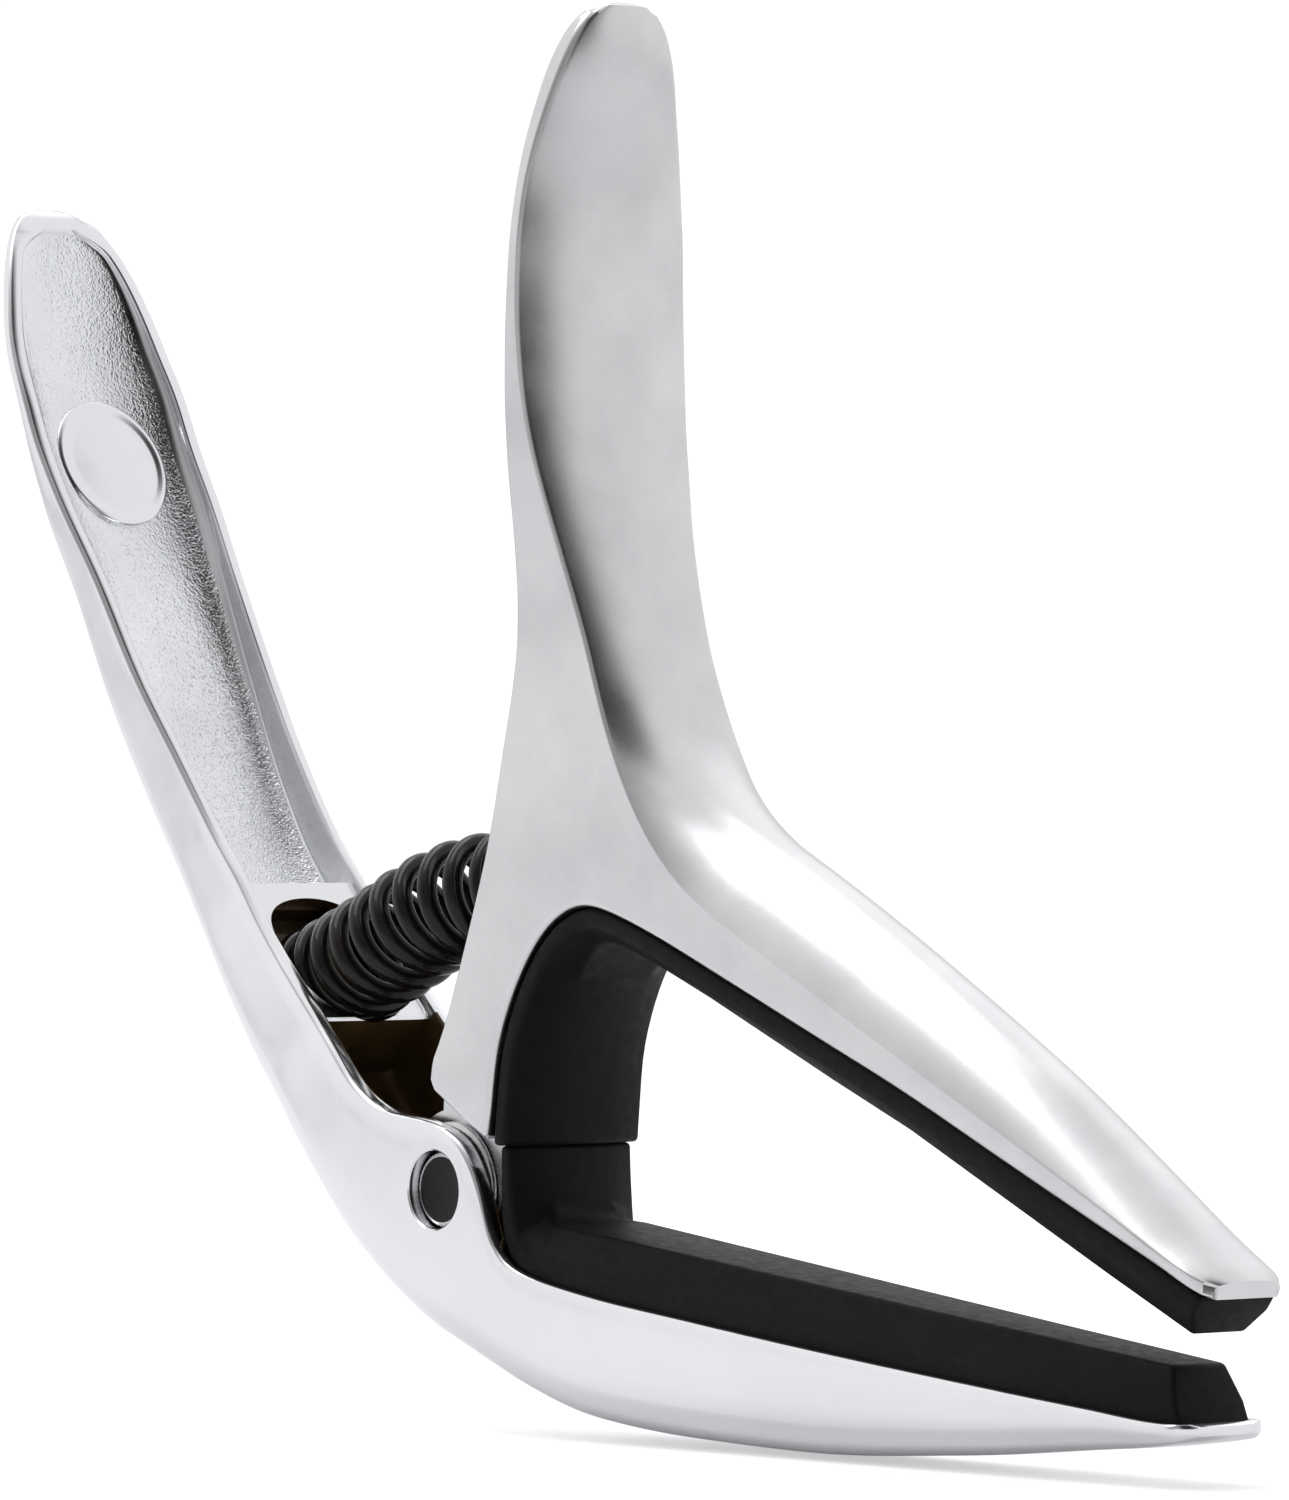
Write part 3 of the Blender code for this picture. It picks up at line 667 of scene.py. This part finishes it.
def lower_arm(polished, cast, pocket_shade, black):
    rows = filled_in(LOWER_RIBS, LOWER_STEP, middle_of_rib)
    rows = softened(rows, LOWER_SOFTNESS, SHAPE_COLUMNS, middle_of_rib, 4.0)
    rings = ribbed_rings(rows, trough_section)
    half = len(rings[0]) // 2

    def slot_of(k, i):
        from_middle = abs(i + 0.5 - half)
        back_x = rows[k][0]
        trough = rows[k][5]
        if back_x < LEVER_END_X and trough > CAST_FROM_DEPTH and from_middle < CAST_POINTS:
            return 1
        # Faces deep in the pocket by the hinge get slot 2, the dark brown painted shade
        deep = max(trough, rows[min(k + 1, len(rows) - 1)][5]) > POCKET_FROM_DEPTH
        inside = POCKET_BACK_X[0] < back_x < POCKET_BACK_X[1] and deep
        if inside and from_middle < FLOOR_POINTS + LIP_POINTS - 1:
            return 2
        return 0

    materials = (polished, cast, pocket_shade)
    arm = loft("lower_arm_casting", rings, materials, slot_of)
    boolean(arm, boss((polished,)), "UNION")
    # The well's and the slot's cut faces take the dark brown painted shade
    boolean(arm, well((pocket_shade,)), "DIFFERENCE")
    boolean(arm, slot((pocket_shade,)), "DIFFERENCE")
    boolean(arm, pin_hole("cheek_hole", (black,)), "DIFFERENCE")
    return finished(arm, 32)


# Upper arm

WIDTH_BY_Z = curve(*zip(*UPPER_WIDTH_BY_Z))
WIDTH_BY_X = curve(*zip(*UPPER_WIDTH_BY_X))


def upper_width(x, z):
    """Full width of the upper arm at a point of its side."""
    t = min(max((x - JAW_FROM_X) / (JAW_ONLY_FROM_X - JAW_FROM_X), 0), 1)
    t = t * t * (3 - 2 * t)
    return WIDTH_BY_Z(z) * (1 - t) + WIDTH_BY_X(x) * t


def inset(outline, offsets):
    """A closed anticlockwise outline moved inwards by an offset at each point, and mitred at its corners."""
    mitre_limit = 1.4
    found = []
    count = len(outline)
    for i, point in enumerate(outline):
        before = (point - outline[i - 1]).normalized()
        after = (outline[(i + 1) % count] - point).normalized()
        normal = Vector((-before.y - after.y, before.x + after.x))
        mitre = min(2 / max(normal.length, 1.0), mitre_limit)
        found.append(point + normal.normalized() * offsets[i] * mitre)
    return found


def smooth_run(rows, across, ends):
    filled = filled_in(rows, UPPER_STEP, across)
    return softened(filled, UPPER_SOFTNESS, range(len(rows[0])), across, ends)


def upper_outline():
    """The side's outline, anticlockwise from the lever's tip, with the crown of the front at each point."""
    back = smooth_run(BACK_EDGE[::-1], point_of, 2.5)
    front = softened(smooth_run(FRONT_EDGE, point_of, 4.0), CROWN_SOFTNESS, (2,), point_of, 8.0)
    seat = smooth_run(PAD_SEAT, point_of, 4.0)
    rows = [(x, z, 0.0) for x, z in LEVER_TIP]
    rows += [(x, z, 0.0) for x, z in back]
    rows += [(x, z, 0.0) for x, z in LEG_END[::-1]]
    rows += [(x, z, 0.0) for x, z in seat[::-1]]
    rows += front[::-1]
    return rows


def side_triangles(ring):
    """Triangles that fill the side's outline, as indices into it."""
    edges = [(i, (i + 1) % len(ring)) for i in range(len(ring))]
    return delaunay_2d_cdt(ring, edges, [list(range(len(ring)))], 1, 1e-6)[2]


def edge_of(point):
    """Radius of the edge at a point of the outline: larger at the lever's tip and smaller at the jaw's."""
    t = min(max((point.y - TIP_FROM_Z) / TIP_LENGTH, 0), 1)
    radius = UPPER_EDGE + (TIP_EDGE - UPPER_EDGE) * t * t * (3 - 2 * t)
    t = min(max((point.x - JAW_END_FROM_X) / JAW_END_LENGTH, 0), 1)
    radius += (JAW_END_EDGE - UPPER_EDGE) * t * t * (3 - 2 * t)
    return min(radius, 0.42 * upper_width(point.x, point.y))


def steepness_of(crown, point):
    """Angle at which the crown meets the rounded edge."""
    half = upper_width(point.x, point.y) / 2
    return math.atan(2 * (1 + CROWN_FULLNESS) * crown / half)


def across_front(crown, point, side, out):
    """Points across the arm, from one side face over a rounded edge and the crown to the other side face."""
    half = upper_width(point.x, point.y) / 2
    edge = edge_of(point)
    steepness = steepness_of(crown, point)
    edge_half = half - edge * (1 - math.sin(steepness))
    start = []
    for k in range(6):
        a = (math.pi / 2 - steepness) * k / 6
        x, z = side + out * edge * math.sin(a)
        start.append((x, -half + edge * (1 - math.cos(a)), z))
    found = list(start)
    last = math.sin(math.pi / 2 * COLUMN_CROWDING)
    for k in range(UPPER_COLUMNS + 1):
        t = math.sin(math.pi / 2 * (2 * k / UPPER_COLUMNS - 1) * COLUMN_CROWDING) / last
        rise = crown * (1 - t * t) * (1 + CROWN_FULLNESS * t * t)
        x, z = point + out * rise
        found.append((x, edge_half * t, z))
    return found + [(x, -y, z) for x, y, z in start[::-1]]


def upper_body(materials):
    rows = upper_outline()
    ring = [Vector((x, z)) for x, z, _ in rows]
    crowns = [crown for _, _, crown in rows]
    offsets = [edge_of(p) * math.cos(steepness_of(crown, p)) for p, crown in zip(ring, crowns)]
    inner = inset(ring, offsets)
    bm = bmesh.new()
    strips = []
    for crown, point, side in zip(crowns, ring, inner):
        out = (point - side).normalized()
        strips.append([bm.verts.new(placed(*p)) for p in across_front(crown, point, side, out)])
    for a, b in zip(strips, strips[1:] + strips[:1]):
        for k in range(len(a) - 1):
            bm.faces.new((a[k], a[k + 1], b[k + 1], b[k]))
    for triangle in side_triangles(ring):
        for end in (0, -1):
            bm.faces.new([strips[i][end] for i in triangle])
    return mesh_object("upper_arm_casting", bm, materials)


def knuckle(materials):
    """The hinge eye with its neck, which reaches up into the body."""
    start = math.acos(NECK_BACK_X / KNUCKLE_RADIUS)
    end = 2 * math.pi + math.acos(NECK_FRONT_X / KNUCKLE_RADIUS)
    outline = []
    for k in range(61):
        a = start + (end - start) * k / 60
        outline.append((KNUCKLE_RADIUS * math.cos(a), KNUCKLE_RADIUS * math.sin(a)))
    return prism("knuckle", outline + list(NECK), KNUCKLE_HALF_WIDTH, materials)


def spring_pocket(materials):
    soft = POCKET_CORNER
    rings = []
    for floor_x, z, half in filled_in(POCKET, 1.0, point_of):
        ring = [placed(POCKET_MOUTH_X, -half, z)]
        for k in range(6):
            a = math.radians(90 * k / 5)
            x = floor_x - soft + soft * math.sin(a)
            ring.append(placed(x, -half + soft - soft * math.cos(a), z))
        for k in range(6):
            a = math.radians(90 * (5 - k) / 5)
            x = floor_x - soft + soft * math.sin(a)
            ring.append(placed(x, half - soft + soft * math.cos(a), z))
        ring.append(placed(POCKET_MOUTH_X, half, z))
        rings.append(ring)
    return loft("spring_pocket", rings, materials)


def upper_arm(satin, pocket_shade):
    arm = upper_body((satin, pocket_shade))
    # The spring pocket's cut faces take the dark brown painted shade
    boolean(arm, spring_pocket((pocket_shade,)), "DIFFERENCE")
    boolean(arm, knuckle((satin,)), "UNION")
    boolean(arm, pin_hole("knuckle_hole", (satin,)), "DIFFERENCE")
    return finished(arm, 28)


# Pads, spring, pin and washers

def pad_section(row, depth):
    """Half a bar with a straight wall and a slanted shoulder, and its mirror image."""
    base, wall, face = row[4:]
    half = base / 2
    return whole([(0.0, 0.0), (half, 0.0), (half, wall), (face / 2, depth), (0.0, depth)])


def pad(name, table, bend, material):
    """The first bend rows are curved, and the rest run straight from one to the next."""
    rows = filled_in(table[:bend], PAD_STEP, middle_of_rib)
    rows = softened(rows, PAD_SOFTNESS, range(7), middle_of_rib, 2.0)
    rows += table[bend:]
    obj = loft(name, ribbed_rings(rows, pad_section), (material,))
    bevelled(obj, PAD_EDGE, 4, 22)
    return finished(obj, 40)


SPRING_KEYS = distances(SPRING_AXIS, point_of)
SPRING_X, SPRING_Z = [curve(SPRING_KEYS, column) for column in zip(*SPRING_AXIS)]


def spring_axis(distance):
    """A point on the spring's axis and the axis's heading there."""
    ahead = Vector((SPRING_X(distance + 0.4), SPRING_Z(distance + 0.4)))
    behind = Vector((SPRING_X(distance - 0.4), SPRING_Z(distance - 0.4)))
    here = Vector((SPRING_X(distance), SPRING_Z(distance)))
    heading = ahead - behind
    return here, math.atan2(heading.y, heading.x)


def wire_point(turn, radius):
    """A point of the helix, whose pitch grows from the seat on. turn runs from 0 to COIL_TURNS."""
    last_pitch = 2 * SPRING_KEYS[-1] / COIL_TURNS - FIRST_PITCH
    distance = turn * (FIRST_PITCH + (last_pitch - FIRST_PITCH) * turn / (2 * COIL_TURNS))
    middle, heading = spring_axis(distance)
    a = 2 * math.pi * turn
    across = Vector((-math.sin(heading), math.cos(heading)))
    x, z = middle + across * radius * math.cos(a)
    return Vector((x, -radius * math.sin(a), z))


def spring(material):
    per_turn = 56
    sides = 18
    count = round(COIL_TURNS * per_turn)
    rings = []
    for k in range(count + 1):
        turn = k / per_turn
        middle = wire_point(turn, COIL_RADIUS)
        ahead = wire_point(turn + 0.01, COIL_RADIUS) - wire_point(turn - 0.01, COIL_RADIUS)
        inward = wire_point(turn, 0) - middle
        side = ahead.cross(inward).normalized()
        inward = side.cross(ahead).normalized()
        ring = []
        for j in range(sides):
            a = 2 * math.pi * j / sides
            point = middle + (side * math.cos(a) + inward * math.sin(a)) * WIRE_RADIUS
            ring.append(placed(*point))
        rings.append(ring)
    return finished(loft("spring_coil", rings, (material,)), 50)


def pin(black, worn):
    """A headless black pin with rounded edges, worn bright, and a slight hollow in each end."""
    end = PIN_HALF_LENGTH
    edge = 0.32
    half = [(end - 0.12, 0.0), (end - 0.1, 0.5 * PIN_RADIUS), (end - 0.03, PIN_RADIUS - edge - 0.25)]
    for k in range(7):
        a = math.radians(90 - 15 * k)
        half.append((end - edge + edge * math.sin(a), PIN_RADIUS - edge + edge * math.cos(a)))
    profile = half + [(-y, r) for y, r in half[::-1]]
    obj = finished(lathe("hinge_pin", profile, 72, (black, worn)), 35)
    for face in obj.data.polygons:
        x, y, z = (face.center - placed(0, 0, 0)) / MM
        if math.hypot(x, z) > PIN_RADIUS - edge and abs(y) > end - edge:
            face.material_index = 1
    return obj


def washer(name, side, material):
    edge = 0.08
    profile = (
        (side * WASHER_INNER, PIN_HOLE_RADIUS + edge),
        (side * (WASHER_INNER + edge), PIN_HOLE_RADIUS),
        (side * (WASHER_OUTER - edge), PIN_HOLE_RADIUS),
        (side * WASHER_OUTER, PIN_HOLE_RADIUS + edge),
        (side * WASHER_OUTER, WASHER_RADIUS - edge),
        (side * (WASHER_OUTER - edge), WASHER_RADIUS),
        (side * (WASHER_INNER + edge), WASHER_RADIUS),
        (side * WASHER_INNER, WASHER_RADIUS - edge),
    )
    return finished(lathe(name, profile, 72, (material,)), 50)


# Materials

class Nodes:
    """A material's node tree, with its Principled shader."""

    def __init__(self, name):
        self.material = bpy.data.materials.new(name)
        self.material.use_nodes = True
        self.tree = self.material.node_tree
        self.shader = self.tree.nodes["Principled BSDF"]
        self.coordinates = self.add("ShaderNodeTexCoord").outputs["Object"]

    def add(self, kind):
        return self.tree.nodes.new(kind)

    def link(self, a, b):
        self.tree.links.new(a, b)

    def noise(self, scale, detail=2.0, roughness=0.5, stretch=(1, 1, 1)):
        """Noise at this many features a metre, its coordinates scaled by stretch."""
        mapping = self.add("ShaderNodeMapping")
        mapping.inputs["Scale"].default_value = stretch
        self.link(self.coordinates, mapping.inputs["Vector"])
        node = self.add("ShaderNodeTexNoise")
        node.inputs["Scale"].default_value = scale
        node.inputs["Detail"].default_value = detail
        node.inputs["Roughness"].default_value = roughness
        self.link(mapping.outputs["Vector"], node.inputs["Vector"])
        return node.outputs["Fac"]

    def between(self, value, low, high, start=0.3, end=0.7):
        node = self.add("ShaderNodeMapRange")
        node.inputs["From Min"].default_value = start
        node.inputs["From Max"].default_value = end
        node.inputs["To Min"].default_value = low
        node.inputs["To Max"].default_value = high
        self.link(value, node.inputs["Value"])
        return node.outputs["Result"]

    def colours(self, value, low, high, start=0.3, end=0.7):
        node = self.add("ShaderNodeValToRGB")
        node.color_ramp.elements[0].position = start
        node.color_ramp.elements[0].color = (*low, 1)
        node.color_ramp.elements[1].position = end
        node.color_ramp.elements[1].color = (*high, 1)
        self.link(value, node.inputs["Fac"])
        return node.outputs["Color"]

    def bump(self, height, depth_mm, normal=None):
        node = self.add("ShaderNodeBump")
        node.inputs["Strength"].default_value = 1.0
        node.inputs["Distance"].default_value = depth_mm * MM
        self.link(height, node.inputs["Height"])
        if normal:
            self.link(normal, node.inputs["Normal"])
        return node.outputs["Normal"]


def polished_metal():
    """Bright plating over a polished casting: a faint orange peel and slightly cloudy gloss."""
    n = Nodes("polished_plating")
    n.shader.inputs["Metallic"].default_value = 1.0
    cloud = n.noise(90, 3)
    n.link(n.colours(cloud, (0.82, 0.825, 0.845), (0.865, 0.87, 0.885)), n.shader.inputs["Base Color"])
    n.link(n.between(n.noise(700, 3), 0.13, 0.2), n.shader.inputs["Roughness"])
    peel = n.bump(n.noise(700, 1), 0.0012)
    n.link(n.bump(n.noise(6000, 2), 0.0006, peel), n.shader.inputs["Normal"])
    return n.material


def cast_metal():
    """The plated but unpolished floor of the lever's trough, with its grainy cast skin."""
    n = Nodes("cast_skin")
    n.shader.inputs["Metallic"].default_value = 1.0
    cloud = n.noise(150, 3)
    n.link(n.colours(cloud, (0.76, 0.77, 0.79), (0.86, 0.87, 0.88)), n.shader.inputs["Base Color"])
    n.link(n.between(n.noise(3000, 2), 0.08, 0.16), n.shader.inputs["Roughness"])
    coarse = n.bump(n.noise(3000, 2, 0.6), 0.04)
    n.link(n.bump(n.noise(6500, 1), 0.04, coarse), n.shader.inputs["Normal"])
    return n.material


def pocket_shade_metal():
    """Painted shade: dark brown, rough metal on the faces deep in the pockets, its colour darkened to stand
    in for the shade in these recesses.
    """
    n = Nodes("pocket_painted_shade")
    n.shader.inputs["Metallic"].default_value = 0.2
    stain = n.noise(300, 3)
    # Painted shade: this dark brown colour darkens the pockets' faces
    n.link(n.colours(stain, (0.045, 0.026, 0.009), (0.11, 0.066, 0.022)), n.shader.inputs["Base Color"])
    n.link(n.between(n.noise(1200, 3), 0.32, 0.5), n.shader.inputs["Roughness"])
    n.link(n.bump(n.noise(2500, 3), 0.02), n.shader.inputs["Normal"])
    return n.material


def satin_metal():
    """Fine-blasted satin plating, slightly mottled."""
    n = Nodes("satin_plating")
    n.shader.inputs["Metallic"].default_value = 1.0
    mottle = n.noise(120, 4, 0.6)
    n.link(n.colours(mottle, (0.635, 0.64, 0.65), (0.745, 0.745, 0.755)), n.shader.inputs["Base Color"])
    n.link(n.between(n.noise(300, 2, 0.5), 0.24, 0.29), n.shader.inputs["Roughness"])
    grain = n.bump(n.noise(5000, 2), 0.0011)
    streaks = n.bump(n.noise(400, 1, 0.4, (0.3, 1, 1)), 0.0016, grain)
    n.link(streaks, n.shader.inputs["Normal"])
    return n.material


def black_enamel(name, specular, low, high):
    """Glossy black finish on steel, its roughness between low and high."""
    n = Nodes(name)
    n.shader.inputs["Metallic"].default_value = 0.0
    n.shader.inputs["Specular IOR Level"].default_value = specular
    n.shader.inputs["Coat Weight"].default_value = 0.08
    n.shader.inputs["Coat Roughness"].default_value = 0.08
    cloud = n.noise(400, 3)
    n.link(n.colours(cloud, (0.0045, 0.0038, 0.0035), (0.012, 0.0095, 0.008)), n.shader.inputs["Base Color"])
    n.link(n.between(n.noise(900, 3), low, high), n.shader.inputs["Roughness"])
    n.link(n.bump(n.noise(3000, 2), 0.002), n.shader.inputs["Normal"])
    return n.material


def steel():
    """Bright turned steel."""
    n = Nodes("turned_steel")
    n.shader.inputs["Metallic"].default_value = 1.0
    n.link(n.colours(n.noise(800, 2), (0.5, 0.5, 0.51), (0.66, 0.66, 0.67)), n.shader.inputs["Base Color"])
    n.link(n.between(n.noise(2500, 2), 0.2, 0.32), n.shader.inputs["Roughness"])
    n.link(n.bump(n.noise(5000, 2), 0.002), n.shader.inputs["Normal"])
    return n.material


def rubber():
    """Matt black moulded rubber with a fine skin and a trace of dust."""
    n = Nodes("moulded_rubber")
    n.shader.inputs["Specular IOR Level"].default_value = 0.13
    n.shader.inputs["Sheen Weight"].default_value = 0.015
    n.shader.inputs["Sheen Roughness"].default_value = 0.5
    dust = n.noise(260, 4, 0.65)
    n.link(n.colours(dust, (0.003, 0.0028, 0.0026), (0.0065, 0.0056, 0.0048)), n.shader.inputs["Base Color"])
    n.link(n.between(n.noise(1500, 3), 0.46, 0.6), n.shader.inputs["Roughness"])
    n.link(n.bump(n.noise(5500, 3, 0.6), 0.006), n.shader.inputs["Normal"])
    return n.material


def paper():
    """White paper, a little brighter to the camera than in reflections."""
    n = Nodes("studio_floor")
    n.shader.inputs["Base Color"].default_value = (0.87, 0.87, 0.88, 1)
    n.shader.inputs["Roughness"].default_value = 0.9
    n.shader.inputs["Specular IOR Level"].default_value = 0.0
    n.shader.inputs["Emission Color"].default_value = (1, 1, 1, 1)
    seen = n.add("ShaderNodeLightPath").outputs["Is Camera Ray"]
    n.link(n.between(seen, 0.06, 0.46, 0.0, 1.0), n.shader.inputs["Emission Strength"])
    return n.material


# Studio

def floor():
    bm = bmesh.new()
    bmesh.ops.create_grid(bm, x_segments=1, y_segments=1, size=4.0)
    for vertex in bm.verts:
        vertex.co.z = -FLOOR_DROP
    obj = mesh_object("floor", bm, (paper(),))


def direction(azimuth, elevation):
    """The direction at an azimuth from +X and an elevation, in degrees."""
    a = math.radians(azimuth)
    e = math.radians(elevation)
    return math.cos(a) * math.cos(e), math.sin(a) * math.cos(e), math.sin(e)


def studio_world():
    """A white room with soft round flags. Each has an azimuth, an elevation, the angles where it starts
    to fade and where it ends, and how much it darkens the room. A negative number brightens it."""
    flags = (
        (-4, 13, 12, 32, 0.97),
        (0, 44, 12, 32, 0.94),
        (-45, 30, 15, 42, 0.6),
        (-92, 20, 8, 34, 0.6),
        (220, 0, 30, 70, -0.05),
        (140, 0, 5, 30, 0.2),
        (125, 42, 8, 28, -0.4),
    )
    world = bpy.data.worlds.new("studio")
    world.use_nodes = True
    bpy.context.scene.world = world
    tree = world.node_tree
    coordinates = tree.nodes.new("ShaderNodeTexCoord").outputs["Generated"]
    value = None
    for azimuth, elevation, inner, outer, depth in flags:
        dot = tree.nodes.new("ShaderNodeVectorMath")
        dot.operation = "DOT_PRODUCT"
        dot.inputs[1].default_value = direction(azimuth, elevation)
        tree.links.new(coordinates, dot.inputs[0])
        fade = tree.nodes.new("ShaderNodeMapRange")
        fade.interpolation_type = "SMOOTHSTEP"
        fade.inputs["From Min"].default_value = math.cos(math.radians(outer))
        fade.inputs["From Max"].default_value = math.cos(math.radians(inner))
        fade.inputs["To Min"].default_value = 1.0
        fade.inputs["To Max"].default_value = 1.0 - depth
        tree.links.new(dot.outputs["Value"], fade.inputs["Value"])
        result = fade.outputs["Result"]
        if value is not None:
            product = tree.nodes.new("ShaderNodeMath")
            product.operation = "MULTIPLY"
            tree.links.new(value, product.inputs[0])
            tree.links.new(result, product.inputs[1])
            result = product.outputs["Value"]
        value = result
    light_path = tree.nodes.new("ShaderNodeLightPath")
    seen = tree.nodes.new("ShaderNodeMix")
    seen.data_type = "FLOAT"
    tree.links.new(light_path.outputs["Is Camera Ray"], seen.inputs[0])
    tree.links.new(value, seen.inputs[2])
    seen.inputs[3].default_value = BACKDROP
    background = tree.nodes["Background"]
    background.inputs["Color"].default_value = (0.9, 0.9, 0.91, 1)
    tree.links.new(seen.outputs[0], background.inputs["Strength"])


def softbox(name, position, target, size, energy):
    light = bpy.data.lights.new(name, "AREA")
    light.shape = "RECTANGLE"
    light.size, light.size_y = size
    light.energy = energy
    obj = bpy.data.objects.new(name, light)
    obj.location = position
    obj.rotation_mode = "QUATERNION"
    obj.rotation_quaternion = (Vector(target) - Vector(position)).to_track_quat("-Z", "Y")
    bpy.context.scene.collection.objects.link(obj)


def studio_lights():
    softbox(
        "overhead",
        position=(-0.2, -0.03, 0.6),
        target=(0.0, 0.0, 0.03),
        size=(0.6, 0.26),
        energy=1.4,
    )


def camera():
    data = bpy.data.cameras.new("camera")
    data.lens = VIEW_LENS
    data.clip_start = 0.01
    data.clip_end = 20
    obj = bpy.data.objects.new("camera", data)
    bpy.context.scene.collection.objects.link(obj)
    s = math.sin(VIEW_AZIMUTH)
    c = math.cos(VIEW_AZIMUTH)
    obj.location = placed(
        VIEW_DISTANCE * s + VIEW_ASIDE * c,
        -VIEW_DISTANCE * c + VIEW_ASIDE * s,
        VIEW_HEIGHT,
    )
    look = Vector((-s * math.cos(VIEW_PITCH), c * math.cos(VIEW_PITCH), math.sin(VIEW_PITCH)))
    obj.rotation_mode = "QUATERNION"
    obj.rotation_quaternion = look.to_track_quat("-Z", "Y")
    bpy.context.scene.camera = obj


def stands_for(obj, body, node):
    """The piece moves with body and replaces the CAD node."""
    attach(obj, body)
    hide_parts(node)


def main():
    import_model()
    camera()
    polished = polished_metal()
    satin = satin_metal()
    # Dark brown painted shade for the pockets, the well and the slot
    pocket_shade = pocket_shade_metal()
    pads = rubber()
    washers = steel()
    black = black_enamel("pin_black", specular=0.12, low=0.15, high=0.3)
    stands_for(lower_arm(polished, cast_metal(), pocket_shade, black), "lower", "lower_arm")
    stands_for(upper_arm(satin, pocket_shade), "upper", "upper_arm")
    upper_pad = pad("upper_pad_rubber", UPPER_PAD_RIBS, UPPER_PAD_BEND, pads)
    stands_for(upper_pad, "upper", "upper_pad")
    lower_pad = pad("lower_pad_rubber", LOWER_PAD_RIBS, LOWER_PAD_BEND, pads)
    stands_for(lower_pad, "lower", "lower_pad")
    stands_for(pin(black, washers), "lower", "pivot_pin")
    stands_for(washer("washer_front", -1, washers), "lower", "pivot_washer_front")
    stands_for(washer("washer_back", 1, washers), "lower", "pivot_washer_back")
    coil = spring(black_enamel("spring_black", specular=0.24, low=0.14, high=0.28))
    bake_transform(coil)
    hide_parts("return_spring")
    floor()
    studio_world()
    studio_lights()
    bpy.context.scene.view_settings.view_transform = "Standard"


main()
